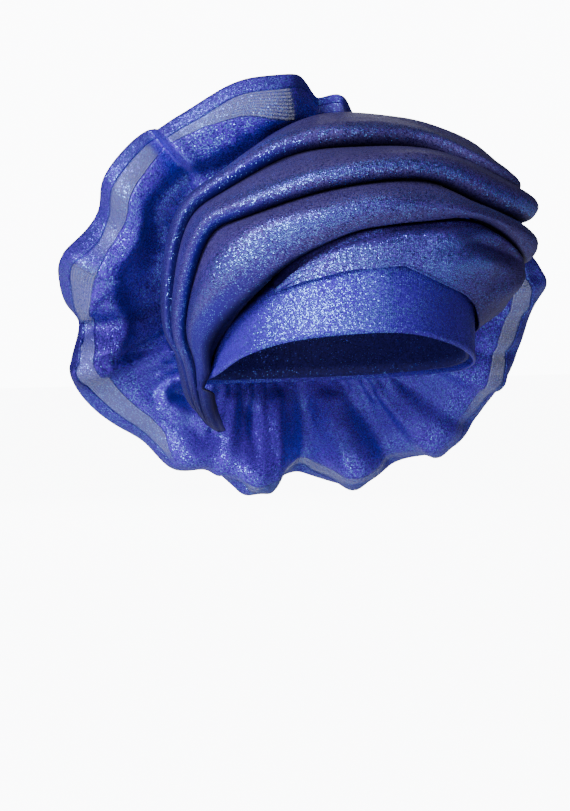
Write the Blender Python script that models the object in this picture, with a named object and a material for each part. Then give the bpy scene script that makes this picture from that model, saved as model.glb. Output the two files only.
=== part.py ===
"""Tied gele head tie in royal blue glitter organza: a cap and forehead band, three rolled pleats
swept over the crown from behind the wearer's right ear, a gathered front drape, and a round organza
ruffle behind the head with a sheer strip and a doubled hem.

The wearer faces -Y and the wearer's left is +X. The origin is the centre of the head opening, level
with the lower edge of the band at the middle of the forehead.
"""
import math

import bpy
import numpy as np

# Head opening and cap
HEAD_HALF_WIDTH = 0.076
HEAD_HALF_DEPTH = 0.096
CAP_WALL = 0.0020
CAP_HEIGHT = 0.092
CAP_BELOW = 0.110
CAP_RIM_LIFT = 0.003
SEAT_GAP = 0.0005
FACET_GAP = 0.0012
EDGE_ROOM = 0.005
EDGE_FADE = 0.008
EDGE_INSET = 0.024

# Forehead band
BAND_WALL = 0.0020
BAND_WIDTH = 0.038
BAND_LEAN = 0.002
BAND_DROP = 0.040

# Rolled pleats
WRAP_REACH = 0.100
WRAP_RISE = 0.100
PLEAT_WALL = 0.0014
VALLEY_DEPTH = 0.013
LIP_DROP = 0.0055
LIP_TUCK = 0.0035
VALLEY_SHARE = 0.8
FLAT_SHARE = 0.55
UNDERSIDE = 0.014
UNDER_RISE = 0.15
LEAST_ROOM = 0.0005
ROOM_ABOVE = (0.002, 0.010)
ROOM_BELOW = (0.005, 0.012)
LEAST_TURN = 0.0022
FACE_SWELL = 0.0025
VALLEY_GAP = 0.0006
TUCK_AHEAD = 0.009
SEAT_FADE = (0.030, -0.030)
TAIL_DEPTH = 0.004
SHOULDER = 0.005

# Front drape
DRAPE_WALL = 0.0012
DRAPE_GAP = 0.0007
DRAPE_TUCK = 0.0016
DRAPE_HANG = 0.007
DRAPE_INSET = 0.009
DRAPE_SWELL = 0.006
DRAPE_RISE = 0.040

# Ruffle
RING_CENTRE = (0.006, 0.060, 0.025)
RING_TILT = math.radians(19.6)
RING_YAW = math.radians(-10.0)
RUFFLE_RADIUS = 0.150
RUFFLE_DEPTH = 0.030
RUFFLE_WALL = 0.0010
HEM_WALL = 0.0014
SHEER_START = 0.77
HEM_START = 0.92
STRIP_GAP = 0.0036
OVER_BAND = 0.005
BAND_SEW = 0.001
SEARCH_REACH = 0.2

# How finely each piece is divided
CAP_STEPS = (40, 8)
BAND_STEPS = (48, 2)
WRAP_STEPS = 38
PLEAT_ROWS = (8, 8, 12)
DRAPE_STEPS = 20
DRAPE_ROWS = 6
RUFFLE_STEPS = 92
BODY_ROWS = 6
SHEER_ROWS = 2
HEM_ROWS = 1

# Lower edge of the band at even steps round the head, from the front toward the wearer's left, each a
# share of BAND_DROP.
BAND_EDGE = (0.02, 0.19, 0.40, 0.56, 0.68, 0.76, 0.83, 0.90, 0.95,
             0.97, 0.96, 0.92, 0.85, 0.77, 0.70, 0.39, 0.16, 0.04)

# Each line of the wrap runs from behind the right ear over the front to the left back. Every row is
# (bearing from the front in degrees, share of WRAP_REACH, share of WRAP_RISE).
LOWER_LIP = (
    (-107.5, 0.575, -0.66), (-95, 0.71, -0.485), (-77.2, 0.87, -0.20), (-66.8, 0.95, -0.002),
    (-45.9, 1.035, 0.27), (-33.6, 1.05, 0.425), (-20, 1.047, 0.535), (-6, 1.04, 0.59), (12, 1.04, 0.62),
    (31, 1.08, 0.60), (56, 1.15, 0.42), (77, 1.10, 0.34), (97, 1.00, 0.25))
LOWER_CREST = (
    (-110, 0.66, -0.625), (-95, 0.77, -0.45), (-78.6, 0.914, -0.16), (-71.1, 1.03, 0.06),
    (-56.4, 1.128, 0.39), (-43.8, 1.136, 0.53), (-27, 1.13, 0.645), (-9, 1.11, 0.70), (9, 1.10, 0.68),
    (28, 1.12, 0.63), (57, 1.20, 0.50), (77, 1.16, 0.44), (97, 1.05, 0.35))
MIDDLE_CREST = (
    (-112, 0.71, -0.59), (-97, 0.82, -0.42), (-84.8, 0.945, -0.18), (-81.7, 1.038, 0.05),
    (-70.8, 1.05, 0.518), (-56.1, 1.00, 0.707), (-31.6, 0.96, 0.85), (-6, 0.95, 0.93), (16, 0.98, 0.925),
    (35, 1.06, 0.825), (57, 1.20, 0.72), (76, 1.17, 0.67), (95, 1.05, 0.55))
UPPER_CREST = (
    (-115, 0.75, -0.55), (-102, 0.84, -0.40), (-94.5, 0.932, -0.16), (-93.8, 1.018, 0.06),
    (-89.7, 0.976, 0.598), (-78.3, 0.792, 0.858), (-52.6, 0.552, 1.077), (-6, 0.45, 1.15),
    (40, 0.56, 1.13), (52, 0.84, 1.01), (63, 1.09, 0.86), (80, 1.08, 0.80), (95, 1.00, 0.69))
CROWN_LINE = (
    (-120, 0.78, -0.51), (-110, 0.86, -0.38), (-104, 0.92, -0.13), (-106, 0.98, 0.08),
    (-105, 0.93, 0.55), (-101, 0.71, 0.83), (-106, 0.36, 1.09), (-90, 0.08, 1.22), (86, 0.27, 1.23),
    (82, 0.60, 1.18), (80, 0.86, 1.06), (90, 0.84, 0.98), (98, 0.80, 0.86))

# How deep the wrap is folded at each of the same places: (share under the lower lip, share of the valley
# under the middle pleat, share of the valley under the upper pleat).
FOLD_DEPTHS = (
    (0.1, 0.0, 0.0), (0.1, 0.1, 0.1), (0.45, 0.25, 0.2), (1.0, 0.45, 0.35),
    (1.0, 0.6, 0.5), (1.0, 0.8, 0.65), (1.0, 0.9, 0.8), (0.9, 1.0, 0.9), (0.7, 1.1, 0.7),
    (0.5, 1.3, 0.4), (0.5, 1.5, 0.3), (0.6, 1.3, 0.4), (0.7, 1.0, 0.6))

# Lower edge of the front drape over the band: (bearing in degrees, share of DRAPE_RISE, swell share, how
# far its top lies inside the lip as a share of DRAPE_INSET).
DRAPE_EDGE = (
    (-46, 0.50, 0.10, 1.0), (-33, 0.68, 0.12, 1.0), (-18, 0.84, 0.25, 0.6), (-1, 0.90, 0.50, 0.25),
    (8, 0.74, 0.75, 0.2), (17, 0.60, 0.85, 0.2), (28, 0.47, 0.80, 0.2), (36, 0.34, 0.75, 0.2),
    (44, 0.15, 0.70, 0.2), (54, 0.00, 0.65, 0.2), (70, -0.12, 0.60, 0.2), (90, -0.16, 0.60, 0.2),
    (108, -0.18, 0.50, 0.2))

# Folds of the ruffle, once round: (bearing of the gathered root, bearing of the hem, hem radius as a
# share of RUFFLE_RADIUS, forward share of the hem, forward share of the body, crease share).
RUFFLE_FOLDS = (
    (0, 2, 1.04, 0.30, 0.50, 0), (9, 10, 0.95, 0.20, 0.30, 0), (19, 19, 0.88, -0.20, 0.10, 0),
    (29, 29, 0.87, 0.30, 0.20, 0), (39, 39, 0.84, -0.30, 0.00, 0), (49, 50, 0.81, 0.20, 0.05, 0),
    (58, 60, 0.74, -0.30, 0.00, 0), (67, 70, 0.70, 0.05, 0.00, 0), (74, 78, 0.74, 0.10, 0.05, 0),
    (78, 83.5, 0.81, 0.30, 0.10, 0), (83, 88, 0.785, 0.10, 0.05, 0), (87, 91, 0.80, 0.15, 0.05, 0.1),
    (91, 94.5, 0.87, 0.30, 0.15, 0.4), (96, 98, 0.905, 0.50, 0.35, 0.8), (103, 104, 0.92, 0.60, 0.50, 1),
    (111, 112, 0.933, 0.62, 0.52, 1), (119, 122, 0.92, 0.62, 0.55, 1), (127, 130, 0.925, 0.62, 0.55, 1),
    (132, 133.5, 0.93, 0.60, 0.60, 1), (136, 135, 0.92, 0.20, 0.40, 1), (140, 138.5, 0.94, 0.25, 0.50, 1),
    (146, 143.5, 0.96, 0.45, 0.60, 1), (152, 151, 0.965, 0.60, 0.65, 1), (159, 158, 0.91, 0.30, 0.75, 1),
    (166, 165, 0.93, 0.35, 0.75, 0.9), (172, 171, 1.00, 0.55, 0.70, 0.8), (178, 178, 0.99, 0.20, 0.70, 0.8),
    (184, 185, 0.955, 0.10, 0.65, 0.8), (190, 191, 0.91, 0.00, 0.50, 0.7), (196, 196.5, 0.97, 0.45, 0.60, 0.6),
    (202, 202.5, 1.00, 0.50, 0.20, 0.6), (210, 209.5, 0.985, 0.50, 0.15, 0.5), (220, 219, 0.94, 0.45, 0.30, 0.2),
    (228, 228, 0.91, 0.40, 0.45, 0), (236, 237, 0.92, 0.60, 0.65, 0), (244, 245, 0.88, 0.35, 0.70, 0),
    (252, 252, 0.88, 0.45, 0.80, 0), (260, 259, 0.91, 0.70, 0.80, 0), (269, 268, 0.86, 0.25, 0.55, 0),
    (280, 278, 0.90, -0.20, 0.40, 0), (291, 290, 0.94, 0.40, 0.70, 0), (302, 302, 0.97, -0.10, 0.50, 0),
    (313, 314, 1.02, 0.30, 0.70, 0), (324, 325, 1.02, 0.10, 0.60, 0), (335, 337, 1.005, 0.30, 0.70, 0),
    (347, 349, 1.02, 0.00, 0.60, 0), (354, 356, 1.05, -0.05, 0.50, 0))

# Radial shape of the ruffle: (share of its width, share of the reach, share of the forward bulge).
SOFT_PROFILE = ((0.00, 0.00, 0.00), (0.25, 0.26, 0.15), (0.50, 0.52, 0.70), (0.66, 0.69, 1.00),
                (0.80, 0.82, 0.85), (1.00, 1.00, 0.00))
CREASED_PROFILE = ((0.00, 0.00, 0.00), (0.25, 0.26, -0.10), (0.50, 0.53, 0.10), (0.66, 0.68, 0.95),
                   (0.82, 0.83, 0.80), (1.00, 1.00, 0.00))


def clear_scene():
    """Remove what a new file starts with."""
    for item in list(bpy.data.objects):
        bpy.data.objects.remove(item, do_unlink=True)


def unit(vectors):
    """Vectors scaled to length one."""
    return vectors / np.maximum(np.linalg.norm(vectors, axis=-1, keepdims=True), 1e-12)


def spline(rows, at):
    """Natural cubic spline through evenly numbered rows, read at row numbers."""
    rows = np.asarray(rows, dtype=float)
    at = np.asarray(at, dtype=float)
    count = len(rows)
    matrix = np.eye(count)
    right = np.zeros_like(rows)
    for i in range(1, count - 1):
        matrix[i, i - 1:i + 2] = (1.0, 4.0, 1.0)
        right[i] = 6.0 * (rows[i + 1] - 2.0 * rows[i] + rows[i - 1])
    bend = np.linalg.solve(matrix, right)
    low = np.clip(np.floor(at).astype(int), 0, count - 2)
    t = (at - low).reshape((-1,) + (1,) * (rows.ndim - 1))
    return (rows[low] * (1 - t) + rows[low + 1] * t
            + bend[low] * ((1 - t) ** 3 - (1 - t)) / 6.0 + bend[low + 1] * (t ** 3 - t) / 6.0)


def bent(points, at):
    """Smooth curve through unevenly spaced points, read at point numbers."""
    points = np.asarray(points, dtype=float)
    count = len(points)
    knots = np.concatenate([[0.0], np.cumsum(np.sqrt(np.linalg.norm(np.diff(points, axis=0), axis=1)))])
    gaps = np.diff(knots)
    matrix = np.eye(count)
    right = np.zeros_like(points)
    for i in range(1, count - 1):
        matrix[i, i - 1:i + 2] = (gaps[i - 1], 2.0 * (gaps[i - 1] + gaps[i]), gaps[i])
        right[i] = 6.0 * ((points[i + 1] - points[i]) / gaps[i] - (points[i] - points[i - 1]) / gaps[i - 1])
    bend = np.linalg.solve(matrix, right)
    low = np.clip(np.floor(at).astype(int), 0, count - 2)
    gap = gaps[low][:, None]
    t = (at - low)[:, None]
    return (points[low] * (1 - t) + points[low + 1] * t
            + gap ** 2 / 6.0 * (bend[low] * ((1 - t) ** 3 - (1 - t)) + bend[low + 1] * (t ** 3 - t)))


def wrap_line(rows, at):
    """Points of one wrap line from its bearings and shares."""
    rows = np.asarray(rows, dtype=float)
    bearing = np.radians(rows[:, 0])
    reach = rows[:, 1] * WRAP_REACH
    points = np.stack([reach * np.sin(bearing), -reach * np.cos(bearing), rows[:, 2] * WRAP_RISE], axis=1)
    return spline(points, at)


def oval(bearing, grow):
    """Horizontal reach of the head oval, grown outward, at a bearing from the front."""
    across = np.sin(bearing) / (HEAD_HALF_WIDTH + grow)
    along = np.cos(bearing) / (HEAD_HALF_DEPTH + grow)
    return 1.0 / np.sqrt(across ** 2 + along ** 2)


def band_drop(bearing):
    """Height of the band's lower edge, level at the forehead and lower behind."""
    shares = np.asarray(BAND_EDGE)
    count = len(shares)
    at = np.asarray(bearing) / (2.0 * math.pi) * count
    low = np.floor(at).astype(int)
    t = at - low
    before, here, after, beyond = (shares[(low + step) % count] for step in (-1, 0, 1, 2))
    curve = 2.0 * before - 5.0 * here + 4.0 * after - beyond + t * (3.0 * (here - after) + beyond - before)
    return -BAND_DROP * (here + t / 2.0 * (after - before + t * curve))


def cap_scale(height):
    """How much the cap narrows at a height."""
    tall = np.where(height > 0, CAP_HEIGHT, CAP_BELOW)
    return np.sqrt(np.clip(1.0 - (height / tall) ** 2, 0.0, 1.0))


def sheet_faces(rows, columns, loop):
    """Quads between neighbouring points of a grid."""
    faces = []
    for i in range(rows if loop else rows - 1):
        for j in range(columns - 1):
            k = (i + 1) % rows
            faces.append((i * columns + j, k * columns + j, k * columns + j + 1, i * columns + j + 1))
    return faces


def inner_faces(faces, below):
    """The same quads on the inner side of a wall, turned round and split along the same diagonals."""
    return [tuple(below + i for i in (face[0], face[3], face[2], face[1])) for face in faces]


def grid_normals(grid, loop):
    """Unit normals of a grid of points."""
    if loop:
        along = np.roll(grid, -1, axis=0) - np.roll(grid, 1, axis=0)
    else:
        along = np.gradient(grid, axis=0)
    return unit(np.cross(along, np.gradient(grid, axis=1)))


def shell(name, grid, wall, loop=False, normals=None):
    """Closed solid of one thickness about a grid of points."""
    rows, columns = grid.shape[:2]
    half = (grid_normals(grid, loop) if normals is None else normals) * wall / 2.0
    points = np.concatenate([(grid + half).reshape(-1, 3), (grid - half).reshape(-1, 3)])
    below = rows * columns
    outer = sheet_faces(rows, columns, loop)
    faces = outer + inner_faces(outer, below)
    for i in range(rows if loop else rows - 1):
        k = (i + 1) % rows
        first, other = i * columns, k * columns
        faces.append((first, below + first, below + other, other))
        last, far = first + columns - 1, other + columns - 1
        faces.append((last, far, below + far, below + last))
    if not loop:
        for j in range(columns - 1):
            faces.append((j, j + 1, below + j + 1, below + j))
            end = (rows - 1) * columns
            faces.append((end + j, below + end + j, below + end + j + 1, end + j + 1))
    return solid(name, points, faces)


def solid(name, points, faces):
    """Mesh object with outward faces and smooth shading."""
    mesh = bpy.data.meshes.new(name)
    mesh.from_pydata([tuple(float(c) for c in p) for p in points], [], faces)
    mesh.update()
    volume = 0.0
    for polygon in mesh.polygons:
        corners = [mesh.vertices[i].co for i in polygon.vertices]
        for k in range(1, len(corners) - 1):
            volume += corners[0].dot(corners[k].cross(corners[k + 1]))
    if volume < 0:
        mesh.flip_normals()
    for polygon in mesh.polygons:
        polygon.use_smooth = True
    item = bpy.data.objects.new(name, mesh)
    bpy.context.scene.collection.objects.link(item)
    return item


def paint(item, colour, roughness, metallic, alpha=1.0):
    """Give a piece its own plain material."""
    material = bpy.data.materials.new(item.name + "_cloth")
    material.use_nodes = True
    shader = material.node_tree.nodes["Principled BSDF"]
    shader.inputs["Base Color"].default_value = (*colour, 1.0)
    shader.inputs["Roughness"].default_value = roughness
    shader.inputs["Metallic"].default_value = metallic
    shader.inputs["Alpha"].default_value = alpha
    item.data.materials.append(material)
    return item


def crown_cap():
    """Hollow cap from the rim inside the band up over the crown."""
    around, up = CAP_STEPS
    bearing = np.linspace(0, 2 * math.pi, around, endpoint=False)
    grow = CAP_WALL / 2.0
    rings = []
    for share in np.linspace(0, 1, up + 1)[:-1]:
        rim = band_drop(bearing) + CAP_RIM_LIFT
        low = np.arcsin(rim / np.where(rim > 0, CAP_HEIGHT, CAP_BELOW))
        climb = low + (math.pi / 2 - low) * share
        height = np.sin(climb) * np.where(climb > 0, CAP_HEIGHT - grow, CAP_BELOW)
        reach = oval(bearing, grow) * np.cos(climb)
        rings.append(np.stack([reach * np.sin(bearing), -reach * np.cos(bearing), height], axis=1))
    grid = np.stack(rings, axis=1)
    half = grid_normals(grid, True) * grow
    outward = np.sign(np.sum(half[0, 0] * grid[0, 0]))
    half = half * outward
    count = around * up
    points = list((grid + half).reshape(-1, 3)) + list((grid - half).reshape(-1, 3))
    points += [np.array([0.0, 0.0, CAP_HEIGHT]), np.array([0.0, 0.0, CAP_HEIGHT - CAP_WALL])]
    outer = sheet_faces(around, up, True)
    faces = outer + inner_faces(outer, count)
    for i in range(around):
        k = (i + 1) % around
        faces.append((i * up, count + i * up, count + k * up, k * up))
        faces.append((i * up + up - 1, k * up + up - 1, 2 * count))
        faces.append((count + k * up + up - 1, count + i * up + up - 1, 2 * count + 1))
    return solid("crown_cap", points, faces)


def band_point(bearing, share):
    """Mid-wall point of the forehead band at a share of its width."""
    height = band_drop(bearing) + BAND_WIDTH * share
    grow = CAP_WALL + SEAT_GAP + BAND_WALL / 2.0 - BAND_LEAN * np.clip(height / BAND_WIDTH, 0.0, 1.0)
    reach = oval(bearing, grow)
    return np.stack([reach * np.sin(bearing), -reach * np.cos(bearing), height], axis=-1)


def forehead_band():
    """Plain ring of cloth round the opening."""
    around, up = BAND_STEPS
    bearing = np.linspace(0, 2 * math.pi, around, endpoint=False)
    grid = np.stack([band_point(bearing, share) for share in np.linspace(0, 1, up + 1)], axis=1)
    return shell("forehead_band", grid, BAND_WALL, loop=True)


def ring_frame():
    """Centre and axes of the ruffle's plane: toward the wearer's left, up, and forward."""
    side = np.array([math.cos(RING_YAW), math.sin(RING_YAW), 0.0])
    ahead = np.array([math.sin(RING_YAW), -math.cos(RING_YAW), 0.0])
    rise = np.array([0.0, 0.0, 1.0])
    up = rise * math.cos(RING_TILT) + ahead * math.sin(RING_TILT)
    forward = ahead * math.cos(RING_TILT) - rise * math.sin(RING_TILT)
    return np.array(RING_CENTRE), side, up, forward


def on_cap(start, direction, grow):
    """Point where a ray from inside leaves the cap, grown outward."""
    low, high = 0.0, SEARCH_REACH
    for _ in range(40):
        middle = (low + high) / 2.0
        point = start + direction * middle
        tall = CAP_HEIGHT if point[2] > 0 else CAP_BELOW
        size = ((point[0] / (HEAD_HALF_WIDTH + CAP_WALL + grow)) ** 2
                + (point[1] / (HEAD_HALF_DEPTH + CAP_WALL + grow)) ** 2 + (point[2] / (tall + grow)) ** 2)
        if size < 1.0:
            low = middle
        else:
            high = middle
    return start + direction * low


def ruffle_seat(centre, way):
    """Where the gathered root of the ruffle sits: on the cap, or low on the band behind."""
    low, high = 0.0, SEARCH_REACH
    clear = SEAT_GAP + RUFFLE_WALL
    for _ in range(40):
        middle = (low + high) / 2.0
        point = centre + way * middle
        bearing = math.atan2(point[0], -point[1])
        edge = float(band_drop(np.array(bearing)))
        grow = CAP_WALL + clear
        tall = (CAP_HEIGHT if point[2] > 0 else CAP_BELOW) + clear
        across = math.hypot(point[0], point[1]) / float(oval(np.array(bearing), grow))
        size = math.hypot(across, point[2] / tall)
        banded = edge - clear < point[2] < edge + BAND_WIDTH + OVER_BAND
        reach = float(oval(np.array(bearing), grow + SEAT_GAP + BAND_WALL))
        inside = size < 1.0 or (banded and math.hypot(point[0], point[1]) < reach)
        if inside and point[2] > edge - clear:
            low = middle
        else:
            high = middle
    point = centre + way * low
    bearing = math.atan2(point[0], -point[1])
    edge = float(band_drop(np.array(bearing)))
    if point[2] < edge + BAND_SEW:
        reach = float(oval(np.array(bearing), CAP_WALL + clear + SEAT_GAP + BAND_WALL))
        return low, np.array([reach * math.sin(bearing), -reach * math.cos(bearing), edge + BAND_SEW])
    return low, point


def wrap_sections(at):
    """Cross-sections of the three pleats at places along the wrap, each a list of points."""
    lip = wrap_line(LOWER_LIP, at)
    crests = [wrap_line(rows, at) for rows in (LOWER_CREST, MIDDLE_CREST, UPPER_CREST)]
    crown = wrap_line(CROWN_LINE, at)
    run = unit(np.gradient(crests[1], axis=0))
    depths = spline(FOLD_DEPTHS, at)
    centre, _, _, forward = ring_frame()
    sections = []
    for k in range(len(at)):
        ups = []
        outs = []
        for low, high in ((lip[k], crests[0][k]), (crests[0][k], crests[1][k]), (crests[1][k], crests[2][k]),
                          (crests[2][k], crown[k])):
            up = high - low
            up = unit(up - run[k] * np.dot(up, run[k]))
            ups.append(up)
            outs.append(unit(np.cross(run[k], up)))
        bearing = math.atan2(lip[k][0], -lip[k][1])
        radial = np.array([math.sin(bearing), -math.cos(bearing), 0.0])
        room = np.dot(lip[k], radial) - oval(bearing, CAP_WALL + SEAT_GAP + BAND_WALL + PLEAT_WALL)
        edge = float(band_drop(np.array(bearing)))
        above = (lip[k][2] - edge - BAND_WIDTH - ROOM_ABOVE[0]) / ROOM_ABOVE[1]
        below = (edge - ROOM_BELOW[0] - lip[k][2]) / ROOM_BELOW[1]
        free = min(1.0, max(above, below, 0.0))
        tuck = min(UNDERSIDE, max(room, LEAST_ROOM)) * (1 - free) + UNDERSIDE * free
        tuck = tuck * depths[k][0]
        inner = lip[k] - radial * tuck + np.array([0.0, 0.0, tuck * UNDER_RISE])
        inner = inner - ups[0] * max(0.0, LEAST_TURN - tuck)
        lower = [inner, lip[k], crests[0][k]]
        apart = (PLEAT_WALL + VALLEY_GAP) / 2.0
        pieces = []
        for step in (0, 1):
            up, out = ups[step + 1], outs[step + 1]
            spread = depths[k][step + 1]
            slack = max(0.0, 1.0 - spread)
            drop = LIP_DROP * (VALLEY_SHARE * spread + FLAT_SHARE * slack)
            valley = crests[step + 1][k] - out * VALLEY_DEPTH * spread - up * drop
            face = (lower[-1] * 0.5 + valley * 0.5) + out * FACE_SWELL * spread
            pieces.append(lower + [face, valley - up * apart])
            hang = LIP_DROP * (spread + slack * FLAT_SHARE / 3.0)
            fold = crests[step + 1][k] - up * hang - out * LIP_TUCK * spread
            lower = [valley + up * apart, fold, crests[step + 1][k]]
        start = centre + forward * TUCK_AHEAD
        aim = unit(crown[k] - start - forward * np.dot(crown[k] - start, forward))
        seat = on_cap(start, aim, SEAT_GAP + PLEAT_WALL / 2.0)
        below = min(1.0, max(0.0, (SEAT_FADE[0] - crown[k][2]) / (SEAT_FADE[0] - SEAT_FADE[1])))
        seat = seat * (1 - below) + (crown[k] - outs[3] * TAIL_DEPTH + ups[3] * TAIL_DEPTH) * below
        shoulder = crown[k] * 0.55 + seat * 0.45 + unit(crown[k] - start) * SHOULDER * (1 - below)
        pieces.append(lower + [(crests[2][k] + crown[k]) / 2.0 + outs[3] * FACE_SWELL * spread, crown[k],
                               shoulder, seat])
        sections.append(pieces)
    return sections


def clear_of_head(grid, wall):
    """Points moved outward where they would run into the band or the cap."""
    bearing = np.arctan2(grid[..., 0], -grid[..., 1])
    reach = np.hypot(grid[..., 0], grid[..., 1])
    height = grid[..., 2]
    edge = band_drop(bearing)
    clear = CAP_WALL + SEAT_GAP + wall / 2.0 + FACET_GAP
    least = oval(bearing, clear + SEAT_GAP + BAND_WALL)
    above = oval(bearing, clear) * cap_scale(height)
    least = np.where(height > edge + BAND_WIDTH + EDGE_ROOM, above, least)
    least = least - np.clip((edge - EDGE_ROOM - height) / EDGE_FADE, 0.0, 1.0) * EDGE_INSET
    push = np.maximum(least, reach) / reach
    return np.stack([grid[..., 0] * push, grid[..., 1] * push, height], axis=-1)


def pleat(name, sections, which, rows):
    """One rolled pleat from its share of every cross-section."""
    grid = np.stack([bent(section[which], np.linspace(0, len(section[which]) - 1, rows + 1))
                     for section in sections])
    return shell(name, clear_of_head(grid, PLEAT_WALL), PLEAT_WALL)


def front_drape():
    """Cloth gathered between the band and the underside of the lower pleat."""
    edge_rows = np.asarray(DRAPE_EDGE, dtype=float)
    first = 4.2
    last = len(LOWER_LIP) - 1.0
    at = np.linspace(first, last, DRAPE_STEPS)
    sections = wrap_sections(at)
    grid = []
    for section in sections:
        inner, lip = section[0][0], section[0][1]
        top = lip * 0.4 + inner * 0.6
        top[2] = lip[2] - (PLEAT_WALL + DRAPE_WALL) / 2.0 - DRAPE_TUCK
        bearing = math.atan2(top[0], -top[1])
        share = np.interp(math.degrees(bearing), edge_rows[:, 0], edge_rows[:, 1])
        swell = np.interp(math.degrees(bearing), edge_rows[:, 0], edge_rows[:, 2])
        inset = DRAPE_INSET * np.interp(math.degrees(bearing), edge_rows[:, 0], edge_rows[:, 3])
        low_z = share * DRAPE_RISE
        grow = CAP_WALL + SEAT_GAP + BAND_WALL + DRAPE_GAP + DRAPE_WALL / 2.0
        reach = float(oval(np.array(bearing), grow))
        radial = np.array([math.sin(bearing), -math.cos(bearing), 0.0])
        low = radial * reach + np.array([0.0, 0.0, low_z])
        upper = lip - radial * inset - np.array([0.0, 0.0, DRAPE_HANG])
        middle = (low + upper) / 2.0 + radial * DRAPE_SWELL * swell
        grid.append(bent([low, middle, upper, top], np.linspace(0, 3, DRAPE_ROWS + 1)))
    return shell("front_drape", clear_of_head(np.stack(grid), DRAPE_WALL), DRAPE_WALL)


def ruffle_grid(across):
    """Points of the ruffle at shares of its width, once round."""
    rows = np.asarray(RUFFLE_FOLDS, dtype=float)
    pad = 4
    before = rows[-pad:].copy()
    before[:, :2] -= 360.0
    after = rows[:pad].copy()
    after[:, :2] += 360.0
    rows = np.concatenate([before, rows, after])
    at = pad + np.linspace(0, len(RUFFLE_FOLDS), RUFFLE_STEPS, endpoint=False)
    root, turn, outer, fore, body, crease = spline(rows, at).T
    centre, side, up, forward = ring_frame()
    profiles = [bent(profile, np.linspace(0, len(profile) - 1, 60))
                for profile in (SOFT_PROFILE, CREASED_PROFILE)]
    grid = np.zeros((len(at), len(across), 3))
    for i in range(len(at)):
        start_angle = math.radians(root[i])
        start_way = side * math.cos(start_angle) + up * math.sin(start_angle)
        start_reach, seat = ruffle_seat(centre, start_way)
        shift = seat - centre - start_way * start_reach
        mix = min(max(crease[i], 0.0), 1.0)
        for j, v in enumerate(across):
            soft = [np.interp(v, profiles[0][:, 0], profiles[0][:, k]) for k in (1, 2)]
            sharp = [np.interp(v, profiles[1][:, 0], profiles[1][:, k]) for k in (1, 2)]
            reach_share = soft[0] * (1 - mix) + sharp[0] * mix
            bulge_share = soft[1] * (1 - mix) + sharp[1] * mix
            angle = math.radians(root[i] * (1 - v) + turn[i] * v)
            way = side * math.cos(angle) + up * math.sin(angle)
            reach = start_reach + (outer[i] * RUFFLE_RADIUS - start_reach) * reach_share
            lead = (fore[i] * v + body[i] * bulge_share) * RUFFLE_DEPTH
            grid[i, j] = centre + way * reach + forward * lead + shift * (1 - v) ** 2
    return grid


def ruffle_pieces():
    """Glitter body, sheer strip and doubled hem of the ruffle."""
    body = np.linspace(0.0, SHEER_START, BODY_ROWS + 1)
    sheer = np.linspace(SHEER_START + STRIP_GAP, HEM_START, SHEER_ROWS + 1)
    hem = np.linspace(HEM_START + STRIP_GAP, 1.0, HEM_ROWS + 1)
    grid = ruffle_grid(np.concatenate([body, sheer, hem]))
    normals = grid_normals(grid, True)
    for last in (len(body) - 1, len(body) + len(sheer) - 1):
        normals[:, last] = unit(normals[:, last] + normals[:, last + 1])
        normals[:, last + 1] = normals[:, last]
    pieces = []
    first = 0
    for name, shares, wall in (("ruffle", body, RUFFLE_WALL), ("ruffle_sheer", sheer, RUFFLE_WALL),
                               ("ruffle_hem", hem, HEM_WALL)):
        last = first + len(shares)
        pieces.append(shell(name, grid[:, first:last], wall, loop=True, normals=normals[:, first:last]))
        first = last
    return pieces


def main():
    """Build every piece."""
    clear_scene()
    paint(crown_cap(), (0.016, 0.022, 0.150), 0.55, 0.2)
    paint(forehead_band(), (0.050, 0.090, 0.480), 0.40, 0.3)
    sections = wrap_sections(np.linspace(0, len(LOWER_LIP) - 1, WRAP_STEPS))
    paint(pleat("lower_pleat", sections, 0, PLEAT_ROWS[0]), (0.045, 0.055, 0.260), 0.42, 0.3)
    paint(pleat("middle_pleat", sections, 1, PLEAT_ROWS[1]), (0.045, 0.055, 0.255), 0.42, 0.3)
    paint(pleat("upper_pleat", sections, 2, PLEAT_ROWS[2]), (0.045, 0.055, 0.250), 0.42, 0.3)
    paint(front_drape(), (0.050, 0.065, 0.330), 0.42, 0.3)
    body, sheer, hem = ruffle_pieces()
    paint(body, (0.018, 0.028, 0.240), 0.45, 0.3)
    paint(sheer, (0.160, 0.180, 0.420), 0.50, 0.0, 0.6)
    paint(hem, (0.030, 0.055, 0.300), 0.42, 0.3)


main()
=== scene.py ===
"""Looks of a tied gele head tie in royal blue glitter organza.

Lengths are in metres. The tie's front faces -Y and its left side, as worn, is +X. The origin is the centre
of the head opening, level with the lower edge of the forehead band at its front.
"""
import math

import bpy
import numpy as np
from mathutils import Matrix, Vector, noise


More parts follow.
